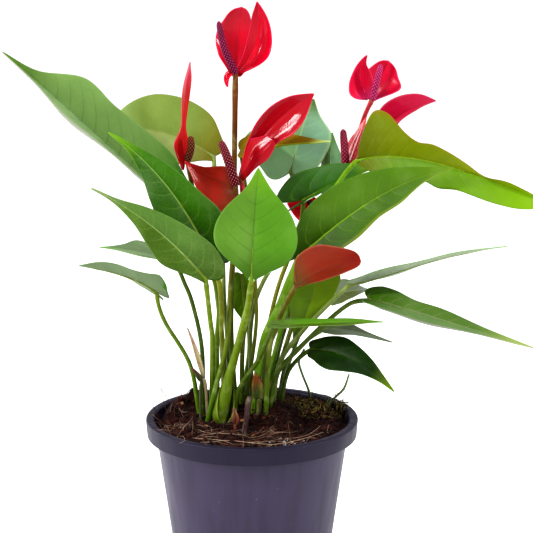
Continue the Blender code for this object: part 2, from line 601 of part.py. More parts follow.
def spadix_solid(name, points, radius, collection, extra=0.0):
    """A tapering finger along a curve, its florets as rows of bumps set like bricks."""
    rows = SPADIX_ROWS
    bm = bmesh.new()
    bmesh.ops.create_uvsphere(bm, u_segments=SPADIX_SIDES, v_segments=rows, radius=1)
    places = np.array([vertex.co[:] for vertex in bm.verts])
    ring = np.rint(np.arccos(np.clip(-places[:, 2], -1, 1)) / math.pi * rows)
    turn = np.arctan2(places[:, 1], places[:, 0])
    t = np.clip((ring - 1) / (rows - 2), 0, 1)
    t = np.where(ring >= rows - 1, 0.97 + 0.03 * (ring - rows + 1), t * 0.97)
    centre = catmull(points, t)
    ahead = catmull(points, np.minimum(t + 0.02, 1)) - catmull(points, np.maximum(t - 0.02, 0))
    ahead = unit(ahead)
    first = unit(np.cross(ahead, np.array([0.3, 1.0, 0.1])))
    second = np.cross(ahead, first)
    poles = (ring == 0) | (ring == rows)
    brick = np.where((ring + np.rint(turn / (2 * math.pi) * SPADIX_SIDES)) % 2 == 0, FLORET_RISE, -FLORET_RISE)
    size = radius * np.interp(t, SPADIX_PLACES, SPADIX_SIZES) * (1 + brick) + extra
    size = np.where(poles, 0, size)
    shift = np.where(ring == 0, -extra, np.where(ring == rows, extra, 0))
    moved = centre + first * (size * np.cos(turn))[:, None] + second * (size * np.sin(turn))[:, None]
    moved = moved + ahead * shift[:, None]
    for vertex, place in zip(bm.verts, moved):
        vertex.co = place * MM
    bmesh.ops.triangulate(bm, faces=bm.faces[:])
    bmesh.ops.recalc_face_normals(bm, faces=bm.faces[:])
    return add_object(name, bm, collection)


def make_bloom(bloom, parts, cutters):
    """Peduncle, spadix and spathe, which is cut clear of both, and the cutter of the stem's hole."""
    start = np.asarray(bloom.spadix[0], float)
    rise = unit(np.subtract(bloom.spadix[1], bloom.spadix[0]))
    approach = unit(np.subtract(bloom.spadix[0], bloom.peduncle[-1]))
    turn = np.linalg.norm(np.cross(approach, rise))
    end = start - approach * (GAP + bloom.spadix_radius * turn)
    route, radii = stem_route(bloom.root, list(bloom.peduncle) + [end], bloom.radii)
    peduncle = tube("peduncle_" + bloom.name, route, radii, parts)
    apply_modifiers(peduncle)
    paint(peduncle, bloom.peduncle_colour, 0.35)
    spadix = spadix_solid("spadix_" + bloom.name, bloom.spadix, bloom.spadix_radius, parts)
    apply_modifiers(spadix)
    paint(spadix, bloom.spadix_colour, 0.6)
    spathe = solid_blade("spathe_" + bloom.name, bloom, SPATHE_ROWS, SPATHE_COLUMNS, SPATHE, parts)
    past_end = np.vstack([route, end + approach * GAP])
    past_radii = np.concatenate([radii, radii[-1:]]) + HOLE_CLEARANCE
    clearances = [tube("peduncle_clearance", past_end, past_radii, cutters),
                  spadix_solid("spadix_clearance", bloom.spadix, bloom.spadix_radius, cutters, SPADIX_CLEARANCE)]
    boolean(spathe, clearances, "DIFFERENCE")
    paint(spathe, bloom.spathe_colour, 0.15)
    return hole_cutter("peduncle_hole", route, radii, cutters)


def make_stalk(name, colour, root, points, radii, parts, cutters):
    """A plain stalk that stands in the soil."""
    route, sizes = stem_route(root, points, radii)
    stalk = tube(name, route, sizes, parts)
    apply_modifiers(stalk)
    paint(stalk, colour)
    return hole_cutter(name + "_hole", route, sizes, cutters)


def turned(name, profile, segments, collection):
    """A profile of (radius, height) turned about the vertical axis into a closed body."""
    bm = bmesh.new()
    vertices = [bm.verts.new((radius * MM, 0, height * MM)) for radius, height in profile]
    for a, b in zip(vertices, vertices[1:]):
        bm.edges.new((a, b))
    obj = add_object(name, bm, collection)
    screw = obj.modifiers.new("turn", "SCREW")
    screw.steps = segments
    screw.render_steps = segments
    screw.use_merge_vertices = True
    screw.merge_threshold = 1e-6
    apply_modifiers(obj)
    return obj


def make_pot(parts, cutters):
    """The turned pot: tapered wall, rolled band, rounded lip, and drain holes round its floor."""
    lip_inside = RIM_RADIUS - LIP
    top = POT_HEIGHT
    band = POT_HEIGHT - RIM_BAND
    groove = top - 2 * BAND_WALL
    profile = (
        (0, FLOOR), (pot_inside(FLOOR), FLOOR), (pot_inside(BEND_HEIGHT), BEND_HEIGHT),
        (lip_inside, top - LIP_DEPTH), (lip_inside, top - LIP_BEVEL), (lip_inside + LIP_BEVEL, top),
        (RIM_RADIUS - LIP_BEVEL, top), (RIM_RADIUS - 0.3 * LIP_BEVEL, top - 0.3 * LIP_BEVEL),
        (RIM_RADIUS, top - LIP_BEVEL), (RIM_RADIUS - BAND_LEAN, band),
        (RIM_RADIUS - BAND_LEAN - BAND_WALL, band), (RIM_RADIUS - LIP_BEVEL / 2 - BAND_WALL, groove),
        (lip_inside + 2 * WALL - BAND_WALL, groove), (lip_inside + WALL, top - LIP_DEPTH),
        (BODY_TOP_RADIUS, BEND_HEIGHT), (BODY_BOTTOM_RADIUS, FOOT_BEVEL), (BODY_BOTTOM_RADIUS - FOOT_BEVEL, 0),
        (0, 0),
    )
    pot = turned("pot", profile[::-1], POT_SEGMENTS, parts)
    holes = []
    for k in range(DRAIN_HOLES):
        angle = 2 * math.pi * (k + 0.5) / DRAIN_HOLES
        bm = bmesh.new()
        bmesh.ops.create_cone(bm, cap_ends=True, segments=DRAIN_SEGMENTS, radius1=DRAIN_RADIUS * MM,
                              radius2=DRAIN_RADIUS * MM, depth=3 * FLOOR * MM)
        hole = add_object(f"drain_{k}", bm, cutters)
        hole.location = (DRAIN_RING * math.cos(angle) * MM, DRAIN_RING * math.sin(angle) * MM, FLOOR / 2 * MM)
        holes.append(hole)
    boolean(pot, holes, "DIFFERENCE")
    paint(pot, "5b556b", 0.45)


def make_soil(holes, parts):
    """The turned plug of soil, its top raised by formula, with a plain hole for every stem."""
    rng = random.Random(SEED)
    floor = FLOOR + GAP
    wall = pot_inside(SOIL_EDGE) - GAP
    crumbs = tuple(
        (rng.uniform(-CRUMB_REACH, CRUMB_REACH), rng.uniform(-CRUMB_REACH, CRUMB_REACH),
         rng.uniform(*CRUMB_RADIUS), rng.uniform(*CRUMB_RISE))
        for _ in range(CRUMBS))
    top = [(wall * k / SOIL_RINGS, SOIL_EDGE) for k in range(SOIL_RINGS + 1)]
    sides = [(pot_inside(BEND_HEIGHT) - GAP, BEND_HEIGHT), (pot_inside(floor) - GAP, floor), (0, floor)]
    soil = turned("soil", top + sides, POT_SEGMENTS, parts)
    for vertex in soil.data.vertices:
        x, y, z = (c / MM for c in vertex.co)
        if z > SOIL_EDGE - 1 and math.hypot(x, y) < wall - 0.5:
            vertex.co.z = float(soil_surface(x, y, crumbs)) * MM
    boolean(soil, holes, "DIFFERENCE")
    paint(soil, "2a1812", 0.95)


def main():
    """Clears the scene and builds every piece in one collection."""
    for obj in list(bpy.data.objects):
        bpy.data.objects.remove(obj)
    parts = bpy.data.collections.new("potted_anthurium")
    cutters = bpy.data.collections.new("cutters")
    for collection in (parts, cutters):
        bpy.context.scene.collection.children.link(collection)
    holes = [make_leaf(leaf, parts, cutters) for leaf in LEAVES + DRY_BITS]
    holes += [make_bloom(bloom, parts, cutters) for bloom in BLOOMS]
    holes += [make_stalk(*stalk, parts, cutters) for stalk in STALKS]
    make_soil(holes, parts)
    make_pot(parts, cutters)


main()
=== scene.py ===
"""Potted anthurium, dressed: fine leaves, spathes, spadices and stems, a coir and moss soil, a moulded pot.

The tables hold millimetres from the middle of the pot's bottom: x to the right, y away from the viewer,
z up. Every shape is a grid worked out with numpy in millimetres, and is scaled to metres as it becomes a
mesh. Each piece replaces the plain solid of the same name and keeps its form.
"""
import json
import logging
import math
import random
from dataclasses import dataclass, field
from enum import Enum

import bpy
import numpy as np
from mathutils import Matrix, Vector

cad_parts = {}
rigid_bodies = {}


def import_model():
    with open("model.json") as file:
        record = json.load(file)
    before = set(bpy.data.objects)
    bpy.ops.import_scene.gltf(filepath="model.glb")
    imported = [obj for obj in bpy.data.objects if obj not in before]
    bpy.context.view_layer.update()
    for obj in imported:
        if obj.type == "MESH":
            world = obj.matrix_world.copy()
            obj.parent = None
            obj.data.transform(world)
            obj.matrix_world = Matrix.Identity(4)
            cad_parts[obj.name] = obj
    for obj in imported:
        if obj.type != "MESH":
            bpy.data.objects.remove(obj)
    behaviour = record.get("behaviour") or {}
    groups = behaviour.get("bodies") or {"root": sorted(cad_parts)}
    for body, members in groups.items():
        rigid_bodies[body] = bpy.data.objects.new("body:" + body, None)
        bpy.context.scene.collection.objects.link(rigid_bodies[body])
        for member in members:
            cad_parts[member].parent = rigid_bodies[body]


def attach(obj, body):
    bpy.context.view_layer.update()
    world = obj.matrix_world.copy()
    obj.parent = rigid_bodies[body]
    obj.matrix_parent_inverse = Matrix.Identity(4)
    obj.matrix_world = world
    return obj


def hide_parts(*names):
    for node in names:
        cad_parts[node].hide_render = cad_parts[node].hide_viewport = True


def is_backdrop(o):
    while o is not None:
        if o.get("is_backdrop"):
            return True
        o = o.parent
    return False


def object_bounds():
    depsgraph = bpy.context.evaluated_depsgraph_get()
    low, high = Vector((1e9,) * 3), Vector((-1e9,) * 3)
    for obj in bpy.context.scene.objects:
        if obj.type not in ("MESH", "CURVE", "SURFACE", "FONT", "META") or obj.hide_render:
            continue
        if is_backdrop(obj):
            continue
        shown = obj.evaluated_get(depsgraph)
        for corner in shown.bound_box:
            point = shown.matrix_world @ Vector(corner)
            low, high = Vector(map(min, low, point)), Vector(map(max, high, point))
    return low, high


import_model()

Array = np.ndarray
MM = 0.001
SEED = 7
log = logging.getLogger("anthurium")

# The pot and the soil, mm
POT_HEIGHT = 105.0
RIM_RADIUS = 60.0
RIM_BAND = 10.0
LIP = 5.0
LIP_DEPTH = 4.0
BODY_TOP_RADIUS = 53.8
BODY_BOTTOM_RADIUS = 41.0
BEND_HEIGHT = 93.0
WALL = 1.6
BASE_WALL = 2.3               # the wall grows thicker down to the base
FLOOR = 2.0
LIP_BEVEL = 1.0
BAND_WALL = 1.2               # the band hangs free of the wall, with a groove behind it
BAND_LEAN = 0.7               # how far the band draws in down to its lower edge
FOOT_BEVEL = 0.9
DRAIN_HOLES = 6
DRAIN_RING = 26.0
DRAIN_RADIUS = 3.5
GAP = 0.3
SOIL_EDGE = 98.0
SOIL_LEVEL = 101.0
CROWN_RISE = 9.0
CROWN_CENTRE = (0.0, 14.0)
CROWN_SPREAD = (22.0, 15.0)
STEM_DEPTH = 9.0

# Grids: how many lines each way
BLADE_GRID = (81, 41)
SPATHE_GRID = (73, 49)
DRY_GRID = (25, 13)
STEM_SIDES = 14
STEM_STEP = 3.0
TIP_HALF = 0.4
CORNER = 0.05
BLADE = 0.7
SPATHE = 0.8
VEIN_SPACING = 9.0


class Side(Enum):
    """Which half of a blade the margin tint runs along, seen from its face towards the tip: a pale tint is a painted
    sheen, a brown one the leaf's own colour.
    """

    LEFT = 1
    RIGHT = -1
    BOTH = 0


class Facing(Enum):
    """Which side of the leaf its face is: the waxy upper side or the dull underside."""

    UPPER = "upper"
    UNDER = "under"


def linear(code: str) -> tuple[float, float, float, float]:
    """Turns an sRGB colour in hexadecimal digits into linear red, green, blue and a full alpha.

    Args:
        code: six hexadecimal digits.

    Returns:
        The linear colour.
    """
    channels = [int(code[k:k + 2], 16) / 255 for k in (0, 2, 4)]
    return (*[c / 12.92 if c <= 0.04045 else ((c + 0.055) / 1.055) ** 2.4 for c in channels], 1.0)


def add(tree: bpy.types.NodeTree, kind: str, inputs: dict | None = None, **settings: object) -> bpy.types.Node:
    """Adds a node, sets its properties, and gives each named input a constant or a link.

    Args:
        tree: the node tree.
        kind: the node's type name.
        inputs: socket name or number to a value or another node's output.
        **settings: the node's own properties.

    Returns:
        The new node.
    """
    node = tree.nodes.new(kind)
    for name, value in settings.items():
        setattr(node, name, value)
    for name, value in (inputs or {}).items():
        if isinstance(value, bpy.types.NodeSocket):
            tree.links.new(value, node.inputs[name])
        else:
            node.inputs[name].default_value = value
    return node


def unit(vectors: Array) -> Array:
    """Vectors along the last axis at length 1."""
    return vectors / np.maximum(np.linalg.norm(vectors, axis=-1, keepdims=True), 1e-9)


def bezier(points: tuple, t: Array) -> Array:
    """Points of a Bezier curve of any degree, by repeated steps between its control points.

    Args:
        points: control points.
        t: values from 0 to 1.

    Returns:
        One point for each value.
    """
    layers = [np.asarray(point, float) + np.zeros((len(t), 1)) for point in points]
    while len(layers) > 1:
        layers = [(1 - t)[:, None] * a + t[:, None] * b for a, b in zip(layers, layers[1:])]
    return layers[0]


def bezier_slope(points: tuple, t: Array) -> Array:
    """The curve's derivative: a Bezier curve on the differences of its control points."""
    steps = [np.subtract(b, a) for a, b in zip(points, points[1:])]
    return len(steps) * bezier(steps, t)


def catmull(values: object, t: Array) -> Array:
    """A smooth curve through rows of values at equal steps, as a cubic between each two.

    Args:
        values: the rows that the curve passes.
        t: values from 0 to 1.

    Returns:
        One row for each value of t.
    """
    rows = np.asarray(values, float)
    rows = np.concatenate([2 * rows[:1] - rows[1:2], rows, 2 * rows[-1:] - rows[-2:-1]])
    spans = len(rows) - 3
    place = np.clip(t * spans, 0, spans - 1e-9)
    first = place.astype(int)
    s = (place - first).reshape((-1,) + (1,) * (rows.ndim - 1))
    a, b, c, d = (rows[first + k] for k in range(4))
    return 0.5 * (2 * b + (c - a) * s + (2 * a - 5 * b + 4 * c - d) * s ** 2 + (3 * b - a - 3 * c + d) * s ** 3)


def pot_inside(height: float) -> float:
    """Inner radius of the pot at a height: a tapered wall, then a flare up to the rim's lip."""
    heights = (FLOOR, BEND_HEIGHT, POT_HEIGHT - LIP_DEPTH)
    radii = (BODY_BOTTOM_RADIUS - BASE_WALL, BODY_TOP_RADIUS - WALL, RIM_RADIUS - LIP)
    return float(np.interp(height, heights, radii))


def soil_mound(x: Array, y: Array) -> Array:
    """Height of the soil before its clumps: a level with a round mound under the crown."""
    reach = ((x - CROWN_CENTRE[0]) / CROWN_SPREAD[0]) ** 2 + ((y - CROWN_CENTRE[1]) / CROWN_SPREAD[1]) ** 2
    return SOIL_LEVEL + CROWN_RISE * np.exp(-reach / 2)


@dataclass
class Shape:
    """Points in mm, faces as lists of point numbers, and values that the materials read at each point."""

    points: Array
    faces: list
    values: dict = field(default_factory=dict)
    slots: tuple = ()         # the material that each group of faces wears

    @staticmethod
    def joined(shapes: list["Shape"]) -> "Shape":
        """One shape of several, with their faces renumbered.

        Args:
            shapes: shapes with the same named values.

        Returns:
            The joined shape.
        """
        starts = np.cumsum([0] + [len(shape.points) for shape in shapes])
        faces = [(np.asarray(group) + start) for shape, start in zip(shapes, starts) for group in shape.faces]
        values = {name: np.concatenate([shape.values[name] for shape in shapes]) for name in shapes[0].values}
        slots = tuple(slot for shape in shapes for slot in shape.slots)
        return Shape(np.concatenate([shape.points for shape in shapes]), faces, values, slots)

    def mesh_object(self, name: str, materials: list[bpy.types.Material]) -> bpy.types.Object:
        """Makes the shape a smooth mesh object at the origin.

        Args:
            name: the object's name.
            materials: one material, or a second one for the last faces.

        Returns:
            The object.
        """
        mesh = bpy.data.meshes.new(name)
        polygons = [face for group in self.faces for face in np.asarray(group).tolist()]
        mesh.from_pydata((self.points * MM).tolist(), [], polygons)
        for label, value in self.values.items():
            layer = mesh.attributes.new(label, "FLOAT", "POINT")
            layer.data.foreach_set("value", np.asarray(value, np.float32))
        for material in materials:
            mesh.materials.append(material)
        if self.slots:
            worn = np.repeat(self.slots, [len(group) for group in self.faces])
            mesh.polygons.foreach_set("material_index", worn.astype(np.int32))
        mesh.shade_smooth()
        mesh.update()
        obj = bpy.data.objects.new(name, mesh)
        bpy.context.scene.collection.objects.link(obj)
        return obj

    def piece(self, name: str, materials: list[bpy.types.Material], slot: str, node: str = "") -> bpy.types.Object:
        """Makes the shape a piece of the plant and reports it.

        Args:
            name: the piece's name.
            materials: its materials.
            slot: not used.
            node: the solid that it replaces, if any.

        Returns:
            The object.
        """
        return settle(self.mesh_object(name, materials), node)


def settle(obj: bpy.types.Object, node: str = "") -> bpy.types.Object:
    """Puts a piece on the plant's one body and the solid it stands for, and reports it.

    Args:
        obj: the piece.
        node: the solid that it replaces, if any.

    Returns:
        The same object.
    """
    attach(obj, "root")
    if node:
        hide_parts(node)
    log.info("%s: %d faces", obj.name, len(obj.data.polygons))
    return obj


def tube(centres: Array, radii: Array, sides: int, reference: tuple = (0.3, 1.0, 0.1)) -> Shape:
    """A round tube along a path, closed at both ends by a point.

    Each ring is a circle in the plane across the path: centre + radius (cos a first + sin a second),
    where first is the cross product of the path's direction and a fixed reference.

    Args:
        centres: the path's points.
        radii: a radius at each.
        sides: points around.
        reference: a direction that the path never runs along.

    Returns:
        The tube, with the value along from 0 to 1.
    """
    ahead = unit(np.gradient(centres, axis=0))
    first = unit(np.cross(ahead, np.asarray(reference, float)))
    second = np.cross(ahead, first)
    turn = np.linspace(0, 2 * math.pi, sides, endpoint=False)
    ring = first[:, None] * np.cos(turn)[None, :, None] + second[:, None] * np.sin(turn)[None, :, None]
    rings = centres[:, None] + ring * np.asarray(radii)[:, None, None]
    share = np.linspace(0, 1, len(centres))
    points = np.vstack([centres[:1], rings.reshape(-1, 3), centres[-1:]])
    along = np.concatenate([[0], np.repeat(share, sides), [1]])
    return Shape(points, ring_faces(len(centres), sides), {"along": along})


def ring_faces(rings: int, sides: int) -> list[Array]:
    """Faces of a stack of rings between two end points, numbered pole, rings, pole.

    Args:
        rings: how many rings.
        sides: points in each ring.

    Returns:
        The four-sided faces and the two fans of triangles, all facing outwards.
    """
    i, j = np.meshgrid(np.arange(rings - 1), np.arange(sides), indexing="ij")
    here, beside = 1 + i * sides + j, 1 + i * sides + (j + 1) % sides
    quads = np.stack([here, beside, beside + sides, here + sides], -1).reshape(-1, 4)
    k = np.arange(sides)
    start = np.stack([np.zeros(sides, int), 1 + (k + 1) % sides, 1 + k], -1)
    base, last = 1 + (rings - 1) * sides, 1 + rings * sides
    end = np.stack([np.full(sides, last), base + k, base + (k + 1) % sides], -1)
    return [quads, start, end]


@dataclass(frozen=True)
class BladeForm:
    """A blade on a curved midrib. The half widths stand at equal steps of the length, seen from its face."""

    midrib: tuple
    left: tuple
    right: tuple
    face: tuple
    fold: tuple = (10, 10)
    lobe: float = 0.05
    curl: tuple = (0, 0)
    face_tip: tuple = ()
    fold_tip: tuple = ()
    lobe_right: float | None = None
    blunt: bool = False

    def half_width(self, u: Array, v: Array) -> Array:
        """Half width at u on the side of v: a smooth curve through the stations, nearly 0 at the tip.

        A pointed tip ends the curve at 0. A blunt one holds the last station and rounds it off by
        the root of 1 - u^6.
        """
        ends = [[side[-1] if self.blunt else 0.0] for side in (self.left, self.right)]
        sides = [catmull(list(side) + end, u.ravel()).reshape(u.shape)
                 for side, end in zip((self.left, self.right), ends)]
        width = np.maximum(np.where(v > 0, *sides), 0)
        return width * (np.sqrt(1 - u ** 6) if self.blunt else 1.0) + TIP_HALF

    def surface(self, u: Array, v: Array) -> Array:
        """The blade's middle surface.

        The midrib is a Bezier curve. Across it each half is an arc that leaves the midrib at the fold
        angle p and bends by the curl angle q: with half width w, the arc's point at a = |v| lies
        w (sin(p + q a) - sin p) / q out and w (cos p - cos(p + q a)) / q up. Lobes reach back by the
        share lobe of the length as sin(pi a) (1 - u)^4, and the base's corners are rounded by CORNER.

        Args:
            u: 0 at the base to 1 at the tip.
            v: -1 at the right margin to 1 at the left one.

        Returns:
            A point for each pair.
        """
        shape = u.shape
        u, v = u.ravel(), v.ravel()
        a = np.abs(v)
        lobe = np.where(v > 0, self.lobe, self.lobe if self.lobe_right is None else self.lobe_right)
        along = u - lobe * np.sin(math.pi * a) * (1 - u) ** 4 + CORNER * a ** 8 * (1 - u) ** 6
        inside = np.clip(along, 0, 1)
        tangent = bezier_slope(self.midrib, inside)
        start = bezier_slope(self.midrib, inside * 0)
        point = bezier(self.midrib, inside) + np.minimum(along, 0)[:, None] * start
        tangent = unit(tangent)
        face = np.asarray(self.face, float)
        face_tip = np.asarray(self.face_tip or self.face, float)
        normal = face + (face_tip - face) * inside[:, None]
        normal = unit(normal - (normal * tangent).sum(-1, keepdims=True) * tangent)
        side = np.cross(normal, tangent)
        half = self.half_width(u, v)
        fold_tip = self.fold_tip or self.fold
        first = np.where(v > 0, self.fold[0], self.fold[1])
        last = np.where(v > 0, fold_tip[0], fold_tip[1])
        angle = np.radians(first + (last - first) * u)
        bend = np.radians(np.where(v > 0, self.curl[0], self.curl[1])) * (1 - 0.6 * u)
        bend = np.where(np.abs(bend) < 1e-3, 1e-3, bend)
        out = half * (np.sin(angle + bend * a) - np.sin(angle)) / bend
        up = half * (np.cos(angle) - np.cos(angle + bend * a)) / bend
        return (point + side * (out * np.sign(v))[:, None] + normal * up[:, None]).reshape(shape + (3,))

    def sheet(self, grid: tuple[int, int], thickness: float, relief: object) -> Shape:
        """The blade as a closed thin body: its middle surface moved both ways along its normals.

        Args:
            grid: lines along and across.
            thickness: at the midrib; the margin has 0.55 of it.
            relief: gives heights in mm on the face side from the blade's own measures.

        Returns:
            The closed shape, with the values along, spread, rib, vein and fade; the back wears the
            second material.
        """
        rows, columns = grid
        u, v = np.meshgrid(np.linspace(0, 1, rows), np.linspace(-1, 1, columns), indexing="ij")
        middle = self.surface(u, v)
        a = np.abs(v)
        length = np.linalg.norm(np.diff(bezier(self.midrib, np.linspace(0, 1, 40)), axis=0), axis=1).sum()
        across = a * self.half_width(u, v)
        measures = {
            "along": u,
            "spread": v,
            "rib": across / (0.9 * (1 - 0.75 * u)),
            "vein": (u * length - across * (0.55 + 0.5 * a)) / VEIN_SPACING,
            "fade": (1 - a ** 2) * (1 - u ** 4),
        }
        normal = unit(np.cross(np.gradient(middle, axis=0), np.gradient(middle, axis=1)))
        raised = middle + normal * relief(measures, across, length)[..., None]
        half = (0.5 * thickness * (1 - 0.45 * a ** 2))[..., None]
        points = np.concatenate([(raised + normal * half).reshape(-1, 3), (raised - normal * half).reshape(-1, 3)])
        number = np.arange(rows * columns).reshape(rows, columns)
        corners = [number[:-1, :-1], number[1:, :-1], number[1:, 1:], number[:-1, 1:]]
        front = np.stack(corners, -1).reshape(-1, 4)
        count = rows * columns
        path = np.concatenate([number[:, 0], number[-1, 1:], number[-2::-1, -1], number[0, -2:0:-1]])
        following = np.roll(path, -1)
        rim = np.stack([following, path, path + count, following + count], -1)
        back = front[:, ::-1] + count
        values = {name: np.tile(value.ravel(), 2) for name, value in measures.items()}
        return Shape(points, [front, rim, back], values, (0, 0, 1))


def leaf_relief(measures: dict, across: Array, length: float) -> Array:
    """A leaf's low relief: sunk veins, the lamina arched between them, and a slow wave at the margin.

    Args:
        measures: the blade's named values.
        across: distance from the midrib, mm.
        length: the blade's length, mm.

    Returns:
        Heights in mm.
    """
    near = np.abs(measures["vein"] - np.rint(measures["vein"]))
    quilt = 0.16 * np.sin(math.pi * near) * measures["fade"]
    groove = -0.3 * np.exp(-(across / 1.3) ** 2) * (1 - measures["along"])
    margin = np.abs(measures["spread"]) ** 4
    wave = 0.55 * margin * np.sin(measures["along"] * length / 7.5 + 1.4 * measures["spread"])
    return quilt + groove + wave * np.sin(math.pi * np.clip(measures["along"], 0, 1))


def spathe_relief(measures: dict, across: Array, length: float) -> Array:
    """A spathe's puckers: veins that run from base to tip, crossed by low blisters.

    Args:
        measures: the blade's named values.
        across: distance from the midrib, mm.
        length: the blade's length, mm.

    Returns:
        Heights in mm.
    """
    spread, along = measures["spread"], measures["along"]
    veins = -0.03 * np.cos(2 * math.pi * 3 * np.abs(spread)) * measures["fade"]
    bend = along * length / 4.2
    blisters = 0.04 * np.sin(bend + 2.1 * spread) * np.sin(across / 1.5 + 1.7 * np.sin(bend * 0.7))
    groove = -0.25 * np.exp(-(across / 1.0) ** 2) * (1 - along)
    return veins + blisters * np.clip(measures["fade"] * 3, 0, 1) + groove


def dry_relief(measures: dict, across: Array, length: float) -> Array:
    """A dry bract's fine lengthwise ribs."""
    return 0.12 * np.sin(9 * measures["spread"] + 2 * measures["along"])


def stem_route(root: tuple, points: list, radii: tuple, step: float = STEM_STEP) -> tuple[Array, Array]:
    """A stem's path and radii: a straight foot in the soil, then a smooth curve to its last point.

    Args:
        root: x and y where it leaves the soil.
        points: the points that it passes above.
        radii: at the soil and at the top.
        step: between points, mm.

    Returns:
        The path and a radius at each point; a low swelling, the pulvinus, sits just under the top.
    """
    ground = np.array([root[0], root[1], float(soil_mound(root[0], root[1]))])
    above = np.array([ground] + [np.asarray(point, float) for point in points])
    length = np.linalg.norm(np.diff(above, axis=0), axis=1).sum()
    t = np.linspace(0, 1, max(6, round(length / step)) + 1)
    curve = catmull(above, t)
    foot = ground - STEM_DEPTH * unit(curve[1] - curve[0])
    thick, thin = radii
    slim = thin + 0.25 * (thick - thin)
    sizes = catmull([thick, 0.45 * thick + 0.55 * slim, slim, slim, 0.5 * (slim + thin), thin], t)
    sizes = sizes * (1 + 0.16 * np.exp(-(((1 - t) * length - 9) / 5) ** 2))
    return np.vstack([foot, curve]), np.concatenate([[thick], sizes])


def new_material(name: str, **sockets: object) -> tuple[bpy.types.Material, bpy.types.NodeTree, bpy.types.Node]:
    """A material whose shader's own sockets carry its constants.

    Args:
        name: the finish's name.
        **sockets: Principled input names, with _ for a space, and their values.

    Returns:
        The material, its node tree and its shader.
    """
    material = bpy.data.materials.new(name)
    material.use_nodes = True
    tree = material.node_tree
    shader = tree.nodes["Principled BSDF"]
    for socket, value in sockets.items():
        shader.inputs[socket.replace("_", " ")].default_value = value
    return material, tree, shader


def blade_values(tree: bpy.types.NodeTree) -> dict[str, bpy.types.NodeSocket]:
    """The outputs that carry a blade's own measures, by name."""
    names = ("along", "spread", "rib", "vein", "fade")
    return {name: add(tree, "ShaderNodeAttribute", attribute_name=name).outputs["Fac"] for name in names}


def masks(tree: bpy.types.NodeTree, ranges: dict[str, tuple]) -> dict[str, bpy.types.NodeSocket]:
    """Masks that rise or fall along an S curve.

    Args:
        tree: the node tree.
        ranges: for each name the source, where it starts and ends, and the mask's values there.

    Returns:
        The masks' outputs by name.
    """
    made = {}
    for name, (source, low, high, first, last) in ranges.items():
        inputs = {"Value": source, "From Min": low, "From Max": high, "To Min": first, "To Max": last}
        made[name] = add(tree, "ShaderNodeMapRange", inputs, interpolation_type="SMOOTHSTEP").outputs[0]
    return made


def layered(tree: bpy.types.NodeTree, ground: str, layers: list[tuple]) -> bpy.types.NodeSocket:
    """Colours laid over each other, each through its mask.

    Args:
        tree: the node tree.
        ground: the first colour in hexadecimal digits.
        layers: pairs of mask and colour, first the lowest.

    Returns:
        The last colour's output.
    """
    colour: object = linear(ground)
    for mask, code in layers:
        colour = add(tree, "ShaderNodeMix", {0: mask, 6: colour, 7: linear(code)}, data_type="RGBA").outputs[2]
    return colour


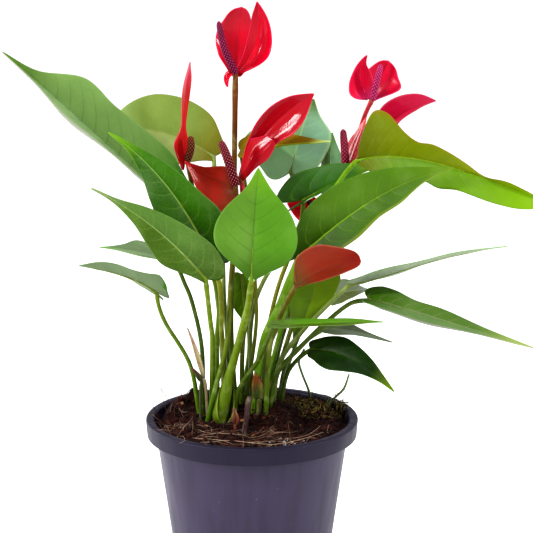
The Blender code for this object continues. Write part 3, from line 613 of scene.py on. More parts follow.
@dataclass(frozen=True)
class LeafSkin:
    """Leaf lamina: green tissue under a waxy cuticle, or the dull paler underside.

    The eye sees a satin sheen, a pale or dark midrib, side veins 9 mm apart that run into the margin and
    a net of veinlets with cells of about 2.5 mm.
    """

    # left, right, base and tip are the leaf's tones as lit, so besides its own green they hold painted light and shade:
    # one half painted darker than the other, and most bases painted darker than the tips
    left: str
    right: str
    base: str
    tip: str
    vein: str = "8fbf6a"
    vein_depth: float = 0.3
    midrib_depth: float = 0.75
    # edge and the three fields after it: the margin's tint; a pale one is a painted sheen along that margin, a brown
    # one the leaf's own colour
    edge: str = "7c9a60"
    margin_tint_and_sheen_side: Side = Side.BOTH
    margin_tint_and_sheen_from: float = 0.93
    margin_tint_and_sheen_depth: float = 0.12
    back: str = "86a878"
    facing: Facing = Facing.UPPER
    cell: float = 2.5         # mm across a cell of the net
    cloud: float = 16.0       # mm across a patch of darker green

    def materials(self, name: str) -> list[bpy.types.Material]:
        """The materials of the face and of the back."""
        under = self.facing is Facing.UNDER
        front = self.side(name + ("_underside" if under else "_cuticle"), under, (self.left, self.right))
        back = self.side(name + ("_cuticle" if under else "_underside"), not under, (self.back, self.back))
        return [front, back]

    def side(self, name: str, dull: bool, halves: tuple[str, str]) -> bpy.types.Material:
        """One side's material.

        Args:
            name: its name.
            dull: whether it is the underside.
            halves: colours of the left and the right half.

        Returns:
            The material.
        """
        material, tree, shader = new_material(
            name, Roughness=0.52 if dull else 0.4, IOR=1.45, Specular_IOR_Level=0.07 if dull else 0.12)
        value = blade_values(tree)
        place = add(tree, "ShaderNodeTexCoord").outputs["Object"]
        clouds = add(tree, "ShaderNodeTexNoise", {"Vector": place, "Scale": 1 / (self.cloud * MM), "Detail": 3.0})
        net = add(tree, "ShaderNodeTexVoronoi", {"Vector": place, "Scale": 1 / (self.cell * MM)},
                  feature="DISTANCE_TO_EDGE")
        ripple = add(tree, "ShaderNodeMath", {0: value["vein"], 1: 0.5}, operation="PINGPONG").outputs[0]
        toward = value["spread"]
        if self.margin_tint_and_sheen_side is Side.BOTH:
            toward = add(tree, "ShaderNodeMath", {0: value["spread"]}, operation="ABSOLUTE").outputs[0]
        if self.margin_tint_and_sheen_side is Side.RIGHT:
            toward = add(tree, "ShaderNodeMath", {0: value["spread"], 1: -1.0}, operation="MULTIPLY").outputs[0]
        mask = masks(tree, {
            "half": (value["spread"], -0.1, 0.1, 0, 1),
            "base": (value["along"], 0.02, 0.4, 0.95, 0),
            "tip": (value["along"], 0.7, 1.0, 0, 1),
            # edge: the margin tint, a painted sheen where it is pale
            "edge": (toward, self.margin_tint_and_sheen_from, 1.0, 0, self.margin_tint_and_sheen_depth),
            "dark": (clouds.outputs["Fac"], 0.42, 0.68, 0, 0.1),
            "light": (clouds.outputs["Fac"], 0.5, 0.28, 0, 0.02),
            "net": (net.outputs["Distance"], 0.0, 0.09, 0.08, 0),
            "vein": (ripple, 0.0, 0.09, self.vein_depth, 0),
            "midrib": (value["rib"], 0.35, 1.0, self.midrib_depth, 0),
        })
        vein = add(tree, "ShaderNodeMath", {0: mask["vein"], 1: value["fade"]}, operation="MULTIPLY").outputs[0]
        base, tip = (halves[0], halves[0]) if halves[0] == self.back else (self.base, self.tip)
        colour = layered(tree, halves[1], [
            (mask["half"], halves[0]), (mask["base"], base), (mask["tip"], tip), (mask["dark"], "10280a"),
            (mask["light"], "d8f0a8"), (mask["edge"], self.edge), (mask["net"], self.vein), (vein, self.vein),
            (mask["midrib"], self.vein)])
        tree.links.new(colour, shader.inputs["Base Color"])
        depth = add(tree, "ShaderNodeMath", {0: vein, 1: mask["net"]}, operation="ADD").outputs[0]
        bump = add(tree, "ShaderNodeBump", {"Height": depth, "Strength": 0.35, "Distance": 0.0006},
                   invert=not dull)
        tree.links.new(bump.outputs["Normal"], shader.inputs["Normal"])
        return material


@dataclass(frozen=True)
class StemSkin:
    """Stem epidermis: smooth green or reddish skin with faint lengthwise streaks and a satin sheen."""

    foot: str
    middle: str
    top: str
    streak: str = "2a3c08"
    streak_width: float = 1.1  # mm

    def material(self, name: str) -> bpy.types.Material:
        """The stem's material, coloured along its length."""
        material, tree, shader = new_material(
            name + "_epidermis", Roughness=0.4, IOR=1.45, Specular_IOR_Level=0.12)
        along = add(tree, "ShaderNodeAttribute", attribute_name="along").outputs["Fac"]
        place = add(tree, "ShaderNodeTexCoord").outputs["Object"]
        drawn = add(tree, "ShaderNodeMapping", {"Vector": place, "Scale": (1.0, 1.0, 0.06)}).outputs[0]
        streaks = add(tree, "ShaderNodeTexNoise",
                      {"Vector": drawn, "Scale": 1 / (self.streak_width * MM), "Detail": 2.0}).outputs["Fac"]
        blotches = add(tree, "ShaderNodeTexNoise", {"Vector": place, "Scale": 1 / (6 * MM)}).outputs["Fac"]
        mask = masks(tree, {
            "middle": (along, 0.05, 0.5, 0, 1), "top": (along, 0.5, 0.9, 0, 1),
            "streak": (streaks, 0.45, 0.75, 0, 0.35), "pale": (blotches, 0.5, 0.25, 0, 0.08),
        })
        colour = layered(tree, self.foot, [
            (mask["middle"], self.middle), (mask["top"], self.top), (mask["streak"], self.streak),
            (mask["pale"], "e0e8a0")])
        tree.links.new(colour, shader.inputs["Base Color"])
        bump = add(tree, "ShaderNodeBump", {"Height": streaks, "Strength": 0.25, "Distance": 0.0003})
        tree.links.new(bump.outputs["Normal"], shader.inputs["Normal"])
        return material


@dataclass(frozen=True)
class SpatheSkin:
    """Spathe: red tissue under a thick wax that looks lacquered, with veins from base to tip."""

    body: str = "bc001a"
    base: str = "96000c"
    tip: str = "c00424"
    edge: str = "c4204c"
    back: str = "a80a22"
    # deep: a darker red for random patches and veins, and the painted shade in the midrib's groove
    deep_and_shade: str = "780010"
    gloss: float = 0.16

    def materials(self, name: str) -> list[bpy.types.Material]:
        """The materials of the glossy face and of the satin back."""
        return [self.side(name + "_waxed_face", self.gloss, self.body, 0.85),
                self.side(name + "_satin_back", self.gloss + 0.16, self.back, 0.3)]

    def side(self, name: str, roughness: float, body: str, wax: float) -> bpy.types.Material:
        """One side's material.

        Args:
            name: its name.
            roughness: of the tissue under the wax.
            body: its main colour.
            wax: weight of the coat.

        Returns:
            The material.
        """
        material, tree, shader = new_material(
            name, Roughness=0.5, IOR=1.45, Specular_IOR_Level=0.03, Coat_Weight=wax,
            Coat_Roughness=roughness * 0.7, Coat_IOR=1.22)
        value = blade_values(tree)
        place = add(tree, "ShaderNodeTexCoord").outputs["Object"]
        clouds = add(tree, "ShaderNodeTexNoise", {"Vector": place, "Scale": 1 / (9 * MM), "Detail": 3.0})
        grain = add(tree, "ShaderNodeTexVoronoi", {"Vector": place, "Scale": 1 / (1.4 * MM)})
        wide = add(tree, "ShaderNodeMath", {0: value["spread"]}, operation="ABSOLUTE").outputs[0]
        fan = add(tree, "ShaderNodeMath", {0: wide, 1: 3.0}, operation="MULTIPLY").outputs[0]
        ripple = add(tree, "ShaderNodeMath", {0: fan, 1: 0.5}, operation="PINGPONG").outputs[0]
        mask = masks(tree, {
            "base": (value["along"], 0.0, 0.35, 0.9, 0), "tip": (value["along"], 0.6, 1.0, 0, 1),
            "edge": (wide, 0.9, 1.0, 0, 0.6), "cloud": (clouds.outputs["Fac"], 0.45, 0.7, 0, 0.25),
            # rib: painted shade along the midrib's groove
            "vein": (ripple, 0.0, 0.12, 0.1, 0), "rib": (value["rib"], 0.2, 1.0, 0.25, 0),
        })
        colour = layered(tree, body, [
            (mask["base"], self.base), (mask["tip"], self.tip), (mask["edge"], self.edge),
            (mask["cloud"], self.deep_and_shade), (mask["vein"], self.deep_and_shade), (mask["rib"], self.deep_and_shade)])
        tree.links.new(colour, shader.inputs["Base Color"])
        bump = add(tree, "ShaderNodeBump",
                   {"Height": grain.outputs["Distance"], "Strength": 0.05, "Distance": 0.0003})
        tree.links.new(bump.outputs["Normal"], shader.inputs["Normal"])
        tree.links.new(bump.outputs["Normal"], shader.inputs["Coat Normal"])
        return material


@dataclass(frozen=True)
class FloretSkin:
    """Spadix florets: matt purple-crimson diamonds, each with a pale stigma in its middle."""

    body: str = "6a1a3c"
    gap: str = "2c0818"
    dot: str = "c07a92"

    def material(self, name: str) -> bpy.types.Material:
        """The spadix's material, coloured by the height in each floret."""
        material, tree, shader = new_material(name + "_florets", Roughness=0.5, IOR=1.45, Specular_IOR_Level=0.08)
        floret = add(tree, "ShaderNodeAttribute", attribute_name="floret").outputs["Fac"]
        place = add(tree, "ShaderNodeTexCoord").outputs["Object"]
        clouds = add(tree, "ShaderNodeTexNoise", {"Vector": place, "Scale": 1 / (5 * MM)}).outputs["Fac"]
        mask = masks(tree, {"body": (floret, 0.12, 0.5, 0, 1), "dot": (floret, 0.72, 0.86, 0, 0.9),
                            "cloud": (clouds, 0.4, 0.7, 0, 0.35)})
        colour = layered(tree, self.gap, [(mask["body"], self.body), (mask["cloud"], self.gap),
                                          (mask["dot"], self.dot)])
        tree.links.new(colour, shader.inputs["Base Color"])
        return material


@dataclass(frozen=True)
class DrySkin:
    """Dead bract: papery, matt, brown to straw, with fine lengthwise fibres and stains."""

    body: str
    tip: str
    stain: str = "4a2410"

    def material(self, name: str) -> bpy.types.Material:
        """The dry bract's material."""
        material, tree, shader = new_material(name + "_dry_paper", Roughness=0.8, IOR=1.45)
        along = add(tree, "ShaderNodeAttribute", attribute_name="along").outputs["Fac"]
        place = add(tree, "ShaderNodeTexCoord").outputs["Object"]
        drawn = add(tree, "ShaderNodeMapping", {"Vector": place, "Scale": (1.0, 1.0, 0.12)}).outputs[0]
        fibres = add(tree, "ShaderNodeTexNoise", {"Vector": drawn, "Scale": 1 / (0.8 * MM)}).outputs["Fac"]
        stains = add(tree, "ShaderNodeTexNoise", {"Vector": place, "Scale": 1 / (4 * MM)}).outputs["Fac"]
        mask = masks(tree, {"tip": (along, 0.3, 1.0, 0, 1), "fibre": (fibres, 0.4, 0.7, 0, 0.5),
                            "stain": (stains, 0.45, 0.75, 0, 0.7)})
        colour = layered(tree, self.body, [(mask["tip"], self.tip), (mask["fibre"], self.stain),
                                           (mask["stain"], self.stain)])
        tree.links.new(colour, shader.inputs["Base Color"])
        bump = add(tree, "ShaderNodeBump", {"Height": fibres, "Strength": 0.6, "Distance": 0.0005})
        tree.links.new(bump.outputs["Normal"], shader.inputs["Normal"])
        return material


@dataclass(frozen=True)
class EarthSkin:
    """Loose earth, fibre, grit or moss: three tones in patches, matt and rough all over."""

    name: str
    dark: str
    body: str
    light: str
    patch: float              # mm across a patch of one tone
    roughness: float = 0.92
    grain: float = 0.7        # mm across a grain of its bump

    def material(self) -> bpy.types.Material:
        """The material; pieces of it carry a tint value that shifts each between dark and light."""
        material, tree, shader = new_material(
            self.name, Roughness=self.roughness, IOR=1.4, Specular_IOR_Level=0.2)
        tint = add(tree, "ShaderNodeAttribute", attribute_name="tint").outputs["Fac"]
        place = add(tree, "ShaderNodeTexCoord").outputs["Object"]
        patches = add(tree, "ShaderNodeTexNoise", {"Vector": place, "Scale": 1 / (self.patch * MM), "Detail": 4.0})
        grains = add(tree, "ShaderNodeTexNoise", {"Vector": place, "Scale": 1 / (self.grain * MM), "Detail": 5.0})
        mask = masks(tree, {
            "body": (patches.outputs["Fac"], 0.38, 0.55, 0, 1), "light": (patches.outputs["Fac"], 0.55, 0.75, 0, 0.8),
            "bright": (tint, 0.5, 1.0, 0, 0.9), "shade": (tint, 0.5, 0.0, 0, 0.9),
        })
        colour = layered(tree, self.dark, [(mask["body"], self.body), (mask["light"], self.light),
                                           (mask["bright"], self.light), (mask["shade"], self.dark)])
        tree.links.new(colour, shader.inputs["Base Color"])
        bump = add(tree, "ShaderNodeBump", {"Height": grains.outputs["Fac"], "Strength": 0.8, "Distance": 0.0006})
        tree.links.new(bump.outputs["Normal"], shader.inputs["Normal"])
        return material


@dataclass(frozen=True)
class PotPlastic:
    """Moulded polypropylene from mixed regrind: satin, dark violet-grey, with flow marks and fine scuffs."""

    body: str = "2b2539"
    streak: str = "272132"
    dust: str = "504c5e"
    # band: the same plastic as the body, painted darker on the rim band as painted shade
    band: str = "120d1f"

    def material(self) -> bpy.types.Material:
        """The pot's material."""
        material, tree, shader = new_material("moulded_polypropylene", Roughness=0.36, IOR=1.49)
        place = add(tree, "ShaderNodeTexCoord").outputs["Object"]
        drawn = add(tree, "ShaderNodeMapping", {"Vector": place, "Scale": (1.0, 1.0, 0.07)}).outputs[0]
        flow = add(tree, "ShaderNodeTexNoise", {"Vector": drawn, "Scale": 1 / (7 * MM), "Detail": 3.0}).outputs["Fac"]
        specks = add(tree, "ShaderNodeTexVoronoi", {"Vector": place, "Scale": 1 / (9 * MM)}).outputs["Distance"]
        skin = add(tree, "ShaderNodeTexNoise", {"Vector": place, "Scale": 1 / (0.9 * MM), "Detail": 4.0}).outputs["Fac"]
        height = add(tree, "ShaderNodeSeparateXYZ", {0: place}).outputs["Z"]
        mask = masks(tree, {"flow": (flow, 0.42, 0.66, 0, 0.8), "speck": (specks, 0.03, 0.06, 0.5, 0),
                            "rough": (flow, 0.3, 0.7, 0.42, 0.52),
                            # band: painted shade on the rim band
                            "band": (height, (POT_HEIGHT - RIM_BAND - 0.4) * MM, (POT_HEIGHT - RIM_BAND + 0.4) * MM,
                                     0, 0.85),
                            "sheen": (height, (POT_HEIGHT - RIM_BAND - 0.4) * MM,
                                      (POT_HEIGHT - RIM_BAND + 0.4) * MM, 0.18, 0.14)})
        tree.links.new(mask["sheen"], shader.inputs["Specular IOR Level"])
        colour = layered(tree, self.body, [(mask["flow"], self.streak), (mask["band"], self.band),
                                           (mask["speck"], self.dust)])
        tree.links.new(colour, shader.inputs["Base Color"])
        tree.links.new(mask["rough"], shader.inputs["Roughness"])
        bump = add(tree, "ShaderNodeBump", {"Height": skin, "Strength": 0.08, "Distance": 0.0003})
        tree.links.new(bump.outputs["Normal"], shader.inputs["Normal"])
        return material


GREEN_STEM = StemSkin("445c06", "4e5e06", "5c6205")
PALE_STEM = StemSkin("4c600c", "54650b", "646f14")
BRIGHT_STEM = StemSkin("4a6c02", "547603", "5c7c06")
DARK_STEM = StemSkin("2e4206", "364a06", "3b5005")
BROWN_STEM = StemSkin("4c5c08", "5e5c06", "6a5605", streak="422004")
OLIVE_STEM = StemSkin("566010", "62640e", "6e6e14")
LIGHT_STEM = StemSkin("56662a", "647238", "727e46")
DEEP_STEM = StemSkin("34440a", "3a4a0a", "484e08")

# The sheath's pale edge is partly a painted highlight along its overlapping margin.
SHEATH = LeafSkin("4c5e0c", "42540a", "5c3c0c", "5a6c1c", vein="788a30", vein_depth=0.0, midrib_depth=0.0,
                  edge="7c8c34", margin_tint_and_sheen_from=0.9, margin_tint_and_sheen_depth=0.6, back="4c5e12")


@dataclass(frozen=True)
class Leaf:
    """One leaf: its petiole, its blade and their finishes."""

    name: str
    root: tuple
    petiole: tuple
    form: BladeForm
    skin: LeafSkin
    stem: StemSkin = GREEN_STEM
    radii: tuple = (1.4, 1.1)
    sheath: BladeForm | None = None  # wraps round the petiole's foot
    rib_end: float = 0.85     # share of the length where the rib under the blade ends

    def build(self) -> None:
        """Makes the blade, and the petiole that runs on as the rib on the underside."""
        sheet = self.form.sheet(BLADE_GRID, BLADE, leaf_relief)
        sheet.piece(self.name + "_blade", self.skin.materials(self.name), "leaf", self.name)
        self.petiole_shape().piece(self.name + "_petiole", [self.stem.material(self.name)], "leaf", self.name)
        if self.sheath:
            wrap = self.sheath.sheet(DRY_GRID, BLADE, dry_relief)
            wrap.piece(self.name + "_sheath", SHEATH.materials(self.name + "_sheath"), "leaf", self.name)

    def petiole_shape(self) -> Shape:
        """The petiole as a tube to the blade's base and on along the back of the midrib, thinning."""
        route, sizes = stem_route(self.root, list(self.petiole) + [self.form.midrib[0]], self.radii)
        u = np.linspace(0.015, self.rib_end, 26)
        line = bezier(self.form.midrib, u)
        tangent = unit(bezier_slope(self.form.midrib, u))
        face = np.asarray(self.form.face, float)
        normal = unit(face - (face * tangent).sum(-1, keepdims=True) * tangent)
        ribs = np.interp(u, [0, 0.12, self.rib_end], [self.radii[1] * 0.95, self.radii[1] * 0.6, 0.3])
        depth = 0.55 * ribs * np.clip(u / 0.06, 0, 1)
        path = np.vstack([route, line - normal * depth[:, None]])
        return tube(path, np.concatenate([sizes, ribs]), STEM_SIDES)


@dataclass(frozen=True)
class DryBit:
    """A dead bract or sheath: a short stalk and a small ribbed blade, both papery."""

    name: str
    root: tuple
    petiole: tuple
    form: BladeForm
    radii: tuple
    skin: DrySkin

    def build(self) -> None:
        """Makes the bract as one piece."""
        blade = self.form.sheet(DRY_GRID, BLADE, dry_relief)
        route, sizes = stem_route(self.root, list(self.petiole) + [self.form.midrib[0]], self.radii)
        stalk = tube(route, sizes, STEM_SIDES)
        stalk.values["along"] = stalk.values["along"] * 0.2
        plain = Shape(blade.points, blade.faces, {"along": blade.values["along"]})
        Shape.joined([plain, stalk]).piece(self.name + "_paper", [self.skin.material(self.name)], "dry_bract",
                                           self.name)


@dataclass(frozen=True)
class Stalk:
    """A plain thin stalk or root that stands in the soil."""

    name: str
    root: tuple
    points: tuple
    radii: tuple
    skin: StemSkin
    slot: str

    def build(self) -> None:
        """Makes the stalk as a tube along its route."""
        route, sizes = stem_route(self.root, list(self.points), self.radii, 1.5)
        tube(route, sizes, 10).piece(self.name + "_skin", [self.skin.material(self.name)], self.slot, self.name)


@dataclass(frozen=True)
class Bloom:
    """One bloom: the peduncle, the spathe behind the spadix, and the spadix with its florets."""

    name: str
    root: tuple
    peduncle: tuple
    form: BladeForm
    spadix: tuple
    spadix_radius: float = 1.8
    radii: tuple = (1.4, 1.3)
    lobes: tuple = ()         # folds and flaps of the spathe that stand in front of its main form
    spathe: SpatheSkin = SpatheSkin()
    stem: StemSkin = StemSkin("384c04", "464404", "523604", streak="321804")
    florets: FloretSkin = FloretSkin()
    floret_size: float = 1.0   # mm, half a floret's diagonal
    floret_rise: float = 0.2   # mm that a floret stands over the gaps

    def build(self) -> None:
        """Makes the three pieces of the bloom."""
        spathe = Shape.joined([lobe.sheet(SPATHE_GRID, SPATHE, spathe_relief) for lobe in (self.form, *self.lobes)])
        spathe.piece(self.name + "_spathe_skin", self.spathe.materials(self.name), "spathe", "spathe_" + self.name)
        self.stem_shape().piece(self.name + "_peduncle_skin", [self.stem.material(self.name)], "peduncle",
                                "peduncle_" + self.name)
        self.spadix_shape().piece(self.name + "_spadix_florets", [self.florets.material(self.name)], "spadix",
                                  "spadix_" + self.name)

    def stem_shape(self) -> Shape:
        """The peduncle, up to the foot of the spadix."""
        route, sizes = stem_route(self.root, list(self.peduncle) + [self.spadix[0]], self.radii)
        return tube(route, sizes, STEM_SIDES)

    def spadix_shape(self) -> Shape:
        """The spadix: a tapering finger whose radius rises in each diamond of a spiral lattice.

        The lattice has n diamonds around: its height is |cos(n a / 2 + pi s) cos(n a / 2 - pi s)| with
        s the distance along in florets, which is 1 in the middle of each diamond.

        Returns:
            The closed finger, with the value floret.
        """
        path = np.linspace(0, 1, 30)
        length = np.linalg.norm(np.diff(catmull(self.spadix, path), axis=0), axis=1).sum()
        around = max(5, round(math.pi * self.spadix_radius / self.floret_size))
        sides = 12 * around
        rows = max(30, round(6 * length / self.floret_size))
        t = np.linspace(0, 1, rows)
        centre = catmull(self.spadix, t)
        ahead = unit(np.gradient(centre, axis=0))
        first = unit(np.cross(ahead, np.array([0.3, 1.0, 0.1])))
        second = np.cross(ahead, first)
        turn = np.linspace(0, 2 * math.pi, sides, endpoint=False)
        steps = (t * length / self.floret_size)[:, None] * 0.5
        wind = turn[None, :] * around / 2
        bump = np.abs(np.cos(wind + math.pi * steps) * np.cos(wind - math.pi * steps))
        taper = np.interp(t, [0, 0.15, 0.7, 1], [0.85, 1, 0.92, 0.7])
        dome = np.sqrt(np.clip(1 - np.clip((t - 0.9) / 0.1, 0, 1) ** 2, 0.02, 1))
        size = (self.spadix_radius * taper * dome)[:, None] + self.floret_rise * (np.sqrt(bump) - 0.6) * dome[:, None]
        ring = first[:, None] * np.cos(turn)[None, :, None] + second[:, None] * np.sin(turn)[None, :, None]
        rings = centre[:, None] + ring * size[..., None]
        points = np.vstack([centre[:1], rings.reshape(-1, 3), centre[-1:] + ahead[-1:] * 0.1])
        values = {"floret": np.concatenate([[0], bump.ravel(), [0.5]])}
        return Shape(points, ring_faces(rows, sides), values)


def form(midrib: tuple, left: tuple, right: tuple, face: tuple, fold: tuple = (10, 10), lobe: float = 0.05,
         **rest: tuple) -> BladeForm:
    """A blade's form with its values in the order of the tables."""
    return BladeForm(midrib, left, right, face, fold, lobe, **rest)
